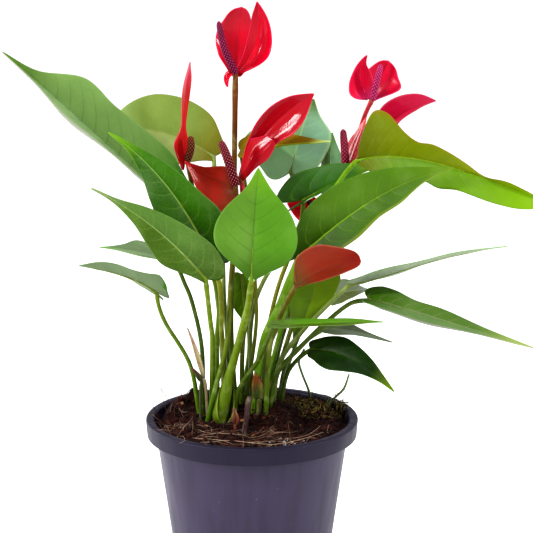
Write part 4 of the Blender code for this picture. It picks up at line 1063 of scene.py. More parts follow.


# Each leaf's tones hold painted shade and light besides its own green, and its pale margins a painted sheen.
LEAVES = (
    Leaf("leaf_long_left", (-20, 10), ((-20, 10, 144), (-19, 12, 170), (-27, 13, 198)),
         form(((-41, 12, 223), (-72, 8, 250), (-104, 2, 284), (-134, -6, 311)),
              (7, 7, 9.5, 14, 20, 6), (14, 20, 20, 18.5, 18.5, 4.5), (0.1, -0.77, 0.64), (50, 30), 0.08),
         # The pale grey-pink band along its left margin is a painted sheen.
         LeafSkin("688054", "5b763d", "30590d", "416013", vein="2c421a", edge="a39b9d", margin_tint_and_sheen_side=Side.LEFT,
                  margin_tint_and_sheen_from=0.55, margin_tint_and_sheen_depth=0.6),
         radii=(1.7, 1.3)),
    Leaf("leaf_bright_left", (-15, 6), ((-16, 3, 140), (-17, -1, 156), (-17, -4, 173), (-19, -6, 188)),
         form(((-25, -8, 203), (-38, -13, 232), (-54, -18, 254), (-76, -24, 270)),
              (13, 16, 15, 12, 6, 1.5), (15, 17, 13, 9.5, 6, 2.5), (0, -0.95, 0.3), (18, 18), 0.12),
         LeafSkin("234900", "2b5600", "0e2c00", "567e00", vein="6f8c3c", vein_depth=0.14, midrib_depth=0.85),
         stem=OLIVE_STEM, radii=(1.6, 1.3)),
    Leaf("leaf_lower_left", (-23, 4), ((-22, -4, 148), (-23, -9, 163), (-24, -14, 176)),
         form(((-25, -20, 189), (-39, -27, 209), (-59, -34, 229), (-84, -42, 243)),
              (1.5, 8, 12, 9.5, 4.5, 1), (14, 15.5, 13.5, 10, 6, 1.5), (0, -1, 0.2), (18, 18), 0.06),
         LeafSkin("3d5813", "415f21", "314809", "67784c", vein="7c9350", vein_depth=0.14, midrib_depth=0.6),
         stem=PALE_STEM, radii=(1.6, 1.3)),
    Leaf("leaf_front_upright", (-18, -4), ((-13, -7, 128), (-7, -13, 152), (-2, -24, 174)),
         form(((0, -36, 191), (1, -42, 223), (4, -50, 255)),
              (0.5, 11, 19.5, 20.5, 15.5, 5.5), (1, 17, 23, 23, 18, 8), (0, -1, 0.1), (12, 12), 0),
         # Its left half is painted greyer than the right for the shade that falls on it.
         LeafSkin("476b1b", "3d680a", "2e4e02", "527b0c", vein="24460a", vein_depth=0.32, midrib_depth=0.45),
         stem=PALE_STEM, radii=(4.6, 1.4),
         sheath=form(((-17, 1, 102.5), (-15.5, -0.5, 117), (-11, -3.5, 134)), (13.5, 15, 13, 10, 7, 3.5),
                     (10, 12, 11, 8, 5, 2.5), (0, -1, 0), (0, 0), 0, curl=(175, 140))),
    Leaf("leaf_olive_back", (-12, 13), ((-14, 21, 142), (-16, 24, 167), (-17, 30, 192), (-21, 40, 222)),
         form(((-22, 46, 246), (-47, 46, 264), (-83, 36, 264)),
              (3, 11, 16, 15.5, 11, 6), (11, 18.5, 21.5, 22, 20, 13), (0, -0.9, 0.4), (15, 15), 0.04),
         LeafSkin("727f49", "627535", "625e15", "788d58", vein="777b46", vein_depth=0.15, midrib_depth=0.5,
                  edge="714737", margin_tint_and_sheen_from=0.95, facing=Facing.UNDER, back="405f15"),
         stem=LIGHT_STEM, radii=(1.5, 1.2)),
    Leaf("leaf_blue_back", (0, 15), ((-1, 17, 151), (6, 23, 177), (27, 35, 208), (27, 42, 225)),
         form(((22, 45, 237), (27, 45, 261), (35, 39, 280)),
              (18, 29, 29, 21, 14, 6), (11, 15, 17, 18, 16, 6.5), (0, -1, 0.2), (10, 10), 0.12),
         # The pale band along its right margin is a painted sheen.
         LeafSkin("729b68", "6c9074", "82a980", "415d25", vein="8faa7e", vein_depth=0.25, edge="a1b889",
                  margin_tint_and_sheen_side=Side.RIGHT, margin_tint_and_sheen_from=0.85, margin_tint_and_sheen_depth=0.5, facing=Facing.UNDER, back="36691f"),
         stem=LIGHT_STEM, radii=(1.5, 1.2)),
    Leaf("leaf_brown_tip", (-4, 10), ((2, 12, 151), (2, 16, 176), (-1, 26, 213)),
         form(((-6.5, 32, 251), (19, 28, 257), (44, 17, 259)),
              (9, 12, 11, 8, 4.5, 1.5), (9, 9, 5, 2, 1, 0.7), (0, -0.5, 0.85), (15, 15), 0.02),
         LeafSkin("785c02", "76830c", "655400", "8ca260", vein="8a6c19", facing=Facing.UNDER, back="535b12"),
         stem=BROWN_STEM, radii=(1.3, 0.9)),
    Leaf("leaf_grey_back", (4, 24), ((18, 38, 146), (34, 48, 185)),
         form(((46, 54, 219), (44, 54, 240), (46, 52, 259)),
              (8, 9, 9, 8, 6, 3), (8, 9, 9, 8, 6, 3), (0.5, -0.8, 0), (20, 20), 0.05),
         LeafSkin("334923", "618360", "37562b", "44692b", vein="6c9157", facing=Facing.UNDER, back="2d5321"),
         radii=(1.3, 1.0)),
    Leaf("leaf_big_right", (7, 3.5), ((14, 4, 145), (27, 4, 189), (41, 5, 225), (51, 6, 242)),
         form(((58, 6, 250), (79, 2, 257), (108, -8, 253), (163, -26, 230)),
              (0.5, 15.5, 26, 24.5, 15.5, 10.2, 10.3, 7.7, 4.2, 0.5, 3, 2),
              (3, 8, 10.5, 12, 13, 12.5, 12, 14.5, 12.5, 12.5, 12, 9), (0.3, -0.9, 0.1), (10, 15), 0,
              face_tip=(0, -0.85, 0.5), fold_tip=(75, 10)),
         LeafSkin("5f6b00", "4b6d00", "4d5400", "5d8100", vein="637600", vein_depth=0.25, edge="6d5400",
                  margin_tint_and_sheen_side=Side.LEFT, margin_tint_and_sheen_from=0.86, margin_tint_and_sheen_depth=0.5, back="475b1f"),
         stem=BRIGHT_STEM, radii=(1.6, 1.3)),
    Leaf("leaf_dark_lobe", (6, 8), ((16, 10, 150), (23, 10, 182), (27, 12, 210)),
         form(((29, 12, 227), (44, 20, 235), (71, 14, 246)),
              (15, 14.5, 13, 11.5, 8.5, 4), (5, 6, 6, 6, 5, 2), (0, -0.8, 0.6), (10, 55), 0.35),
         LeafSkin("214c00", "275300", "142e00", "688800", vein="3b5e00", midrib_depth=0.7),
         radii=(1.4, 1.1)),
    Leaf("leaf_front_right", (0.5, -1), ((6, -4, 148), (15, -7, 170), (21, -8, 186)),
         form(((27, -8, 199), (51, -12, 223), (76, -18, 243), (108, -27, 251.5)),
              (9, 17, 18.5, 16.5, 11.5, 5), (9.5, 12, 13, 10, 9, 3), (0, -0.95, 0.3), (18, 18), 0.08),
         LeafSkin("3b5a08", "304e02", "1a3100", "486303", vein="516c12", midrib_depth=0.8, edge="7a832d",
                  margin_tint_and_sheen_side=Side.RIGHT, margin_tint_and_sheen_from=0.8, margin_tint_and_sheen_depth=0.5),
         stem=BRIGHT_STEM, radii=(2.3, 2.0)),
    Leaf("leaf_slim_right", (11, -0.5), ((15.5, -1.5, 136), (27.5, -1.5, 154), (41, -2.5, 169), (52, -4, 180)),
         form(((57, -4, 183), (77, -8, 188), (103, -14, 202), (138, -24, 208)),
              (9, 11, 10, 8, 5, 2), (9, 11, 10, 8, 5, 2), (0, 0.35, 0.93), (6, 6), 0.06),
         LeafSkin("528136", "528136", "44732c", "5c883e", back="838e77", vein="769a61"),
         stem=LIGHT_STEM, radii=(1.6, 1.2)),
    Leaf("leaf_far_right", (9.5, -5), ((14, -6, 131), (26, -7, 146), (40, -8, 160.5), (54, -9.5, 172.5)),
         form(((65, -10, 175), (84, -18, 173), (113, -28, 164), (152, -42, 156)),
              (13, 12, 9, 8, 6, 3), (7, 12, 14, 12, 8, 3), (0, -0.25, 1), (12, 12), 0.08),
         # The pale grey band along its right margin is a painted sheen.
         LeafSkin("3d571d", "49632f", "2e4f00", "7b8b46", vein="6d6f54", edge="8a8088", margin_tint_and_sheen_side=Side.RIGHT,
                  margin_tint_and_sheen_from=0.75, margin_tint_and_sheen_depth=0.5),
         stem=DEEP_STEM, radii=(1.5, 1.2)),
    Leaf("leaf_thin_front", (-10.5, -4), ((-7, -7, 123), (3, -16, 141), (8, -24, 154)),
         form(((12, -28, 165), (37, -32, 167), (71, -36, 169)),
              (8, 10, 10, 9, 7, 4), (8, 10, 10, 8, 5, 2), (0, 0, 1), (5, 5), 0.05),
         LeafSkin("477016", "394e09", "3b5214", "51721c", vein="547220", back="427123"),
         stem=DEEP_STEM, radii=(1.6, 1.2)),
    Leaf("leaf_grey_low", (14.5, 5.5), ((19, 7, 133), (28, 9, 144), (36, 10, 150)),
         form(((41, 10, 153), (55, 10, 154), (79, 4, 147)),
              (6, 8, 8, 6, 3, 1), (8, 10, 10, 8, 6, 3), (0, -0.2, 1)),
         LeafSkin("464e3b", "596353", "566640", "4e5742", vein="696c59", facing=Facing.UNDER, back="243f13"),
         stem=LIGHT_STEM, radii=(1.3, 1.0)),
    Leaf("leaf_dark_low", (15.5, 1.5), ((19.5, 2, 128), (26, 1.5, 138)),
         form(((33, 0, 144), (56, -4, 145), (79, -16, 124)),
              (6, 9, 11, 9, 6, 2.5), (8, 13.5, 15.5, 12, 6, 2), (0.1, -0.6, 0.8), (12, 12), 0.03),
         LeafSkin("0d2500", "112f00", "192e00", "506700", vein="254100", vein_depth=0.15, midrib_depth=0.4,
                  back="344927"),
         stem=DARK_STEM),
    Leaf("leaf_grey_small", (13, 10.5), ((27, 16, 148), (37, 18, 163)),
         form(((43, 18, 170), (53, 18, 174), (66, 14, 175)),
              (7, 7, 7, 7, 5, 2), (6, 6, 6, 5, 4, 2), (0, -0.8, 0.5)),
         LeafSkin("7c846f", "6f784d", "6f7d50", "979c9d", vein="a0a577", facing=Facing.UNDER, back="436e25"),
         radii=(1.2, 0.9)),
    Leaf("leaf_hanging", (5, -1.5), ((19, 3, 145), (28, 7, 171), (35, 8, 184)),
         form(((38, 3, 189), (34, 2, 169), (22.5, 2.5, 144)),
              (12, 11.5, 10, 7.5, 4, 1), (12, 13, 13, 12, 8, 3), (0, -1, 0.1), (8, 8), 0.08),
         LeafSkin("597300", "435d00", "576d00", "4b6600", vein="607302", vein_depth=0.2, midrib_depth=0.4),
         stem=BROWN_STEM, radii=(1.3, 1.0)),
    Leaf("leaf_thin_left", (-28, 2), ((-28, 1, 143), (-33, 0, 170), (-38, -1, 184)),
         form(((-42, -2, 195), (-62, -5, 202), (-83, -12, 205)),
              (10, 12, 12, 11, 8, 4), (13, 14, 14, 14, 7, 3), (0, -0.1, 1), (8, 8), 0.08),
         LeafSkin("61774f", "5a6e49", "51693c", "3f700a", vein="728262", back="6b8461"),
         stem=DARK_STEM),
    Leaf("leaf_edge_left", (-30, 7), ((-35, 4, 134), (-48, 2, 158), (-52, 1, 169)),
         form(((-53, 0, 177), (-60, -5, 185), (-77, -10, 192), (-94, -18, 196)),
              (5, 11, 8.5, 7.5, 8, 6), (3, 8, 8, 7, 5, 3), (0, 0.28, 0.95), (28, 3), 0.22),
         LeafSkin("3a6217", "3a6217", "335a14", "4e6a41", back="5f7050", vein="687e65")),
    Leaf("leaf_dark_inner", (-6, 21), ((-2, 28, 139), (-5, 32, 168)),
         form(((-6, 32, 180), (-5, 34, 164), (-4, 36, 148)),
              (6, 8, 8, 7, 5, 2), (6, 8, 8, 7, 5, 2), (0, -1, 0), (8, 8)),
         LeafSkin("506a01", "466401", "486a00", "537b01", vein="768f03"),
         stem=GREEN_STEM, radii=(1.2, 0.9)),
)

RED_STEM = StemSkin("384c04", "4a4006", "921c28", streak="461408")
DULL_SPATHE = SpatheSkin(body="76170b", base="4c260d", tip="98060b", edge="8c2c20", back="622c1e", deep_and_shade="380a05",
                         gloss=0.26)
ORANGE_SPATHE = SpatheSkin(body="6e1f09", base="533a0d", tip="701107", edge="8f5639", back="602d0f",
                           deep_and_shade="441105", gloss=0.28)
PINK_SPATHE = SpatheSkin(body="8f082a", base="810a27", tip="8e1835", edge="a15065", back="81182a", gloss=0.22)

BLOOMS = (
    Bloom("top", (-9.5, 9), ((-12, 15, 151), (-11, 22, 189), (-10, 27, 241)),
          form(((-9, 25, 295.5), (-8, 36, 314), (-5.5, 27, 332.5)),
               (4, 10, 12.5, 13.5, 13, 11), (4, 10, 11, 10.5, 9, 7), (0.1, -1, 0.1), (8, 8), 0.03, curl=(35, 20),
               blunt=True),
          ((-9, 22, 297), (-15, 15, 311), (-18, 12, 326)), 2.1, (1.6, 1.5),
          lobes=(form(((-7.5, 23.5, 297), (3, 31, 308), (5, 26, 322), (3, 18, 336)),
                      (2, 3, 4, 4.5, 4, 3), (3, 10.5, 13.5, 12.5, 9.5, 5.5), (-0.1, -1, 0.1), (10, 10), 0.0,
                      curl=(20, 75)),
                 form(((-11.5, 21, 297), (-15, 17, 295), (-13.3, 17, 289.5)), (1.2, 2, 2.2, 1.8, 1.4, 0.8),
                      (1, 1.6, 1.6, 1.4, 1, 0.6), (-0.3, -1, 0), (20, 20), 0, curl=(40, 40))),
          spathe=SpatheSkin(body="9e001c", base="960018", tip="94001e"),
          stem=StemSkin("42560a", "4a5404", "542a04", streak="38240a"),
          florets=FloretSkin("660a2c", "280616", "963a68")),
    Bloom("left_open", (-25, -5), ((-20, -7, 125), (-14, -4, 148), (-12, 4, 178), (-9, 12, 218)),
          form(((-9, 15, 234), (-25, 18, 236), (-37, 10, 249)),
               (16, 20, 18, 13, 8, 3), (6, 9, 9, 7, 4, 2), (0, -0.9, 0.4), (10, 10), 0.1, curl=(25, 25)),
          ((-9, 12, 236), (-13, 8, 250), (-17, 6, 261)), 2.6, (1.5, 1.4),
          spathe=DULL_SPATHE, stem=StemSkin("3a5604", "485406", "4a2806", streak="2e2404"),
          florets=FloretSkin("5c0612", "240306", "b4646e")),
    Bloom("left_edge", (-16, 15), ((-18, 18, 151), (-23, 20, 191), (-32, 22, 225)),
          form(((-37.4, 21.9, 247), (-40, 25, 276), (-34, 18, 303)),
               (4, 8, 2, 2, 3.5, 3.5), (1.5, 2.5, 1.2, 2, 3, 3), (0.5, -0.85, 0), (10, 10), 0.08, curl=(10, 10),
               face_tip=(0.9, -0.4, 0)),
          ((-36, 20, 248), (-34, 18, 255), (-34, 18, 262)), 2.2,
          spathe=SpatheSkin(body="9c1a18", back="9c1a18", tip="b03048", edge="b05058", gloss=0.2),
          florets=FloretSkin("5a2a10", "280e06", "84483a")),
    Bloom("right_cup", (10, 15), ((17, 21, 145), (34, 28, 192), (53, 42, 233), (63, 42, 267)),
          form(((66.5, 37.5, 280), (72, 46, 290), (77, 40, 301.5)),
               (5, 10, 10, 9.5, 9, 8), (3, 10, 13.2, 14.8, 14.4, 11), (0, -1, 0.1), (12, 12), 0.0,
               curl=(45, 60), lobe_right=0.05, blunt=True),
          ((68, 34, 281), (70, 29, 292), (72, 26, 301)), 2.0,
          lobes=(form(((66, 37, 280.5), (62, 36, 287), (58, 34, 297), (64.3, 30, 305.6)),
                    (1.5, 7.5, 10.5, 9, 5.5, 2.5), (3, 4, 6, 6, 5, 2), (0.35, -1, 0), (10, 10), 0.0,
                      curl=(30, 40)),),
          # The cup's pink edge is partly a painted highlight.
          spathe=SpatheSkin(body="ac002c", base="b0285c", tip="a60028", edge="c43c64", gloss=0.4), stem=RED_STEM,
          florets=FloretSkin("9e2250", "601434", "b65084")),
    Bloom("right_edge", (9.5, 10.5), ((22, 16, 151), (37, 24, 196), (49, 28, 224)),
          form(((54, 30, 238), (61, 32, 255), (64, 28, 271)),
               (8, 10, 10, 9, 6, 3), (8, 10, 10, 9, 6, 3), (-0.96, -0.28, 0), (10, 10), 0.08, curl=(10, 10)),
          ((53, 28, 240), (52, 24, 254), (51, 24, 265)), 2.3,
          spathe=SpatheSkin(body="8e0a18", back="981424", base="9c2a26"), stem=RED_STEM,
          florets=FloretSkin("822036", "3c0c1a", "aa5062")),
    Bloom("middle_rolled", (-6, 5), ((-5, 8, 147), (0, 12, 175), (-3, 17, 209)),
          form(((-7, 20, 235), (-1, 22, 259), (17, 19, 275), (34, 6, 287)),
               (1, 2.5, 5.5, 8, 8.5, 6), (1.5, 4.5, 8, 9.5, 12, 9), (-0.2, -0.95, 0), (10, 10), 0, curl=(40, 40)),
          ((-6, 22, 237), (-4, 22.5, 242), (-2, 22.5, 247)), 1.4,
          lobes=(form(((-6.6, 18.5, 236.5), (1, 15, 249), (12, 10.5, 261)),
                      (1, 3.5, 6.5, 9, 11, 8.5), (1, 2, 2.5, 3.5, 5, 5), (-0.3, -0.9, 0.3), (0, 0), 0.0,
                      curl=(-25, -25), blunt=True),),
          spathe=SpatheSkin(body="860010", base="660c09", tip="830216"), stem=RED_STEM),
    Bloom("front_rolled", (7.6, -8.7), ((10, -12, 147), (16, -18, 168)),
          form(((24, -22, 185), (36, -24, 195), (48, -26, 199), (59, -30, 201)),
               (2, 12, 14.5, 14, 11, 9), (1, 3, 5, 5.5, 5.5, 5), (0, -0.9, 0.4), (10, 10), 0, curl=(30, 30), blunt=True),
          ((25, -20, 187), (31, -18, 193), (38, -18, 197)), 1.8,
          spathe=ORANGE_SPATHE, stem=StemSkin("324a00", "444c00", "544a00", streak="3a2c02")),
    Bloom("right_hidden", (5, 20), ((11, 30, 141), (33, 30, 180), (55, 24, 216), (70, 17, 245)),
          form(((74, 17, 265), (82, 15, 277), (101, 8, 283)),
               (8, 9.5, 10.3, 9.8, 8.3, 5.5), (6, 4, 2.5, 2, 1.6, 0.6), (0, -0.9, 0.4), (15, 15), 0.05,
               curl=(15, 15)),
          ((73, 19, 266), (76, 20, 273), (80, 20, 279)), 1.8, spathe=PINK_SPATHE, stem=RED_STEM),
    Bloom("middle_small", (1, 4.5), ((9, 8, 153), (16, 12, 181), (27, 18, 206)),
          form(((38, 22, 221), (30, 22, 217), (20, 18, 224)),
               (7, 9, 9, 8, 6, 3), (7, 9, 9, 8, 6, 3), (0, -0.9, 0.3), (10, 10), 0.05, curl=(20, 20)),
          ((36, 19, 222), (32, 17, 225), (29, 16, 229)), 1.8, (1.3, 1.2), spathe=SpatheSkin(body="b40408"), stem=OLIVE_STEM,
          florets=FloretSkin("5a1018", "28060c", "8a3c44")),
)

DRY_BITS = (
    DryBit("dry_sheath", (4, -6), ((4, -6, 114),),
           form(((4, -6, 117), (4, -7.5, 125), (2, -8, 132)), (2.4, 3.4, 3.6, 3.4, 3, 2),
                (2.4, 3, 3.1, 3, 2.6, 1.6), (0, -1, 0), (25, 25), 0), (1.6, 1.2),
           DrySkin("3a4c08", "8a440e", stain="4a1c08")),
    DryBit("dry_bract_front", (-9, -18), ((-9, -18, 104),),
           form(((-9, -18, 106), (-8.5, -18.5, 110), (-10, -19, 115.5)), (1, 1.8, 1.8, 1.4, 1, 0.5),
                (1, 1.8, 1.8, 1.4, 1, 0.5), (0, -1, 0.2), (25, 25), 0), (1.0, 0.8), DrySkin("581f0c", "966844")),
    DryBit("dry_bract_upper", (-25, 0), ((-26, -1.5, 122),),
           form(((-27, -2, 128), (-30, -3, 143), (-36, -5, 158)), (0.8, 1.2, 1.4, 1.2, 0.8, 0.4),
                (0.8, 1.2, 1.4, 1.2, 0.8, 0.4), (-0.3, -1, 0), (30, 30), 0), (1.0, 0.8),
           DrySkin("8c845e", "8e7c68", stain="7c5c48")),
    DryBit("dry_bract_lower", (-29, -2.5), ((-29, -3, 121),),
           form(((-28.5, -3.4, 126.5), (-30, -4, 130.5), (-34, -4.5, 134.6)), (0.8, 1.2, 1.2, 1, 0.7, 0.4),
                (0.8, 1.2, 1.2, 1, 0.7, 0.4), (0, -1, 0.3), (25, 25), 0), (0.8, 0.7),
           DrySkin("2c3808", "54301a", stain="2c1408")),
)

STALKS = (
    Stalk("aerial_root", (-4, -28), ((-4, -26, 104), (-3, -19, 109), (-2, -12, 116), (-1, -10, 119)), (1.4, 1.6),
          StemSkin("1c1012", "2a1618", "3e2a2c", streak="14080a"), "aerial_root"),
    Stalk("grass_left", (34, 36), ((33, 36, 109), (29, 34, 120), (27, 30, 129), (30, 26, 137)), (0.9, 0.7),
          StemSkin("3c4a28", "5c6c48", "6c7c58"), "pale_stalk"),
    Stalk("grass_right", (43.5, 27), ((47, 28, 106.5), (53, 27, 113), (56, 26, 122)), (0.9, 0.6),
          StemSkin("4c5a38", "5c6c48", "6c7c58"), "pale_stalk"),
)


@dataclass(frozen=True)
class Pot:
    """The turned pot: tapered wall, rolled band, rounded lip, and drain holes round its floor."""

    segments: int = 192
    corner: float = 0.5       # mm that each edge is rounded by
    corner_steps: int = 4
    hole_sides: int = 32

    def profile(self) -> Array:
        """The section as (radius, height), from the middle of the outside floor round to the inside floor."""
        lip_inside, top = RIM_RADIUS - LIP, POT_HEIGHT
        band, groove = POT_HEIGHT - RIM_BAND, top - 2 * BAND_WALL
        outline = [
            (BODY_BOTTOM_RADIUS - FOOT_BEVEL, 0), (BODY_BOTTOM_RADIUS, FOOT_BEVEL),
            (BODY_TOP_RADIUS, BEND_HEIGHT), (lip_inside + WALL, top - LIP_DEPTH),
            (lip_inside + 2 * WALL - BAND_WALL, groove), (RIM_RADIUS - LIP_BEVEL / 2 - BAND_WALL, groove),
            (RIM_RADIUS - BAND_LEAN - BAND_WALL, band), (RIM_RADIUS - BAND_LEAN, band),
            (RIM_RADIUS, top - LIP_BEVEL), (RIM_RADIUS - 0.3 * LIP_BEVEL, top - 0.3 * LIP_BEVEL),
            (RIM_RADIUS - LIP_BEVEL, top), (lip_inside + LIP_BEVEL, top), (lip_inside, top - LIP_BEVEL),
            (lip_inside, top - LIP_DEPTH),
            (pot_inside(BEND_HEIGHT), BEND_HEIGHT), (pot_inside(FLOOR), FLOOR),
        ]
        return np.array(outline, float)

    def rounded(self, outline: Array) -> Array:
        """Each corner becomes a short quadratic curve between points on its two sides.

        Args:
            outline: the corners in order.

        Returns:
            The outline with rounded corners.
        """
        padded = np.vstack([[0, outline[0, 1]], outline, [0, outline[-1, 1]]])
        before, here, after = padded[:-2], padded[1:-1], padded[2:]
        back = np.minimum(self.corner, 0.45 * np.linalg.norm(before - here, axis=1))[:, None]
        on = np.minimum(self.corner, 0.45 * np.linalg.norm(after - here, axis=1))[:, None]
        first, last = here + unit(before - here) * back, here + unit(after - here) * on
        t = np.linspace(0, 1, self.corner_steps)[None, :, None]
        curve = (1 - t) ** 2 * first[:, None] + 2 * t * (1 - t) * here[:, None] + t ** 2 * last[:, None]
        return curve.reshape(-1, 2)

    def turned(self) -> Shape:
        """The profile turned about the vertical axis."""
        outline = self.rounded(self.profile())
        turn = np.linspace(0, 2 * math.pi, self.segments, endpoint=False)
        ring = np.stack([np.cos(turn), np.sin(turn)], -1)
        flat = outline[:, 0][:, None, None] * ring[None]
        height = np.broadcast_to(outline[:, 1][:, None, None], flat.shape[:2] + (1,))
        rings = np.concatenate([flat, height], -1).reshape(-1, 3)
        points = np.vstack([[0, 0, outline[0, 1]], rings, [0, 0, outline[-1, 1]]])
        return Shape(points, ring_faces(len(outline), self.segments))

    def build(self) -> None:
        """Turns the pot, cuts its drain holes and dresses it."""
        pot = self.turned().mesh_object("pot_moulding", [PotPlastic().material()])
        cutters = bpy.data.collections.new("drain_cutters")
        bpy.context.scene.collection.children.link(cutters)
        for k in range(DRAIN_HOLES):
            angle = 2 * math.pi * (k + 0.5) / DRAIN_HOLES
            spot = (DRAIN_RING * math.cos(angle), DRAIN_RING * math.sin(angle))
            path = np.array([(*spot, height) for height in (-3.0, 0.5, 5.0)])
            cutters.objects.link(tube(path, np.full(3, DRAIN_RADIUS), self.hole_sides).mesh_object("drain", []))
        cut = pot.modifiers.new("drains", "BOOLEAN")
        cut.operation, cut.operand_type, cut.collection = "DIFFERENCE", "COLLECTION", cutters
        bpy.context.view_layer.update()
        cut_mesh = bpy.data.meshes.new_from_object(pot.evaluated_get(bpy.context.evaluated_depsgraph_get()))
        pot.modifiers.clear()
        pot.data = cut_mesh
        for cutter in list(cutters.objects):
            bpy.data.objects.remove(cutter)
        bpy.data.collections.remove(cutters)
        cut_mesh.set_sharp_from_angle(angle=math.radians(50))
        settle(pot, "pot")


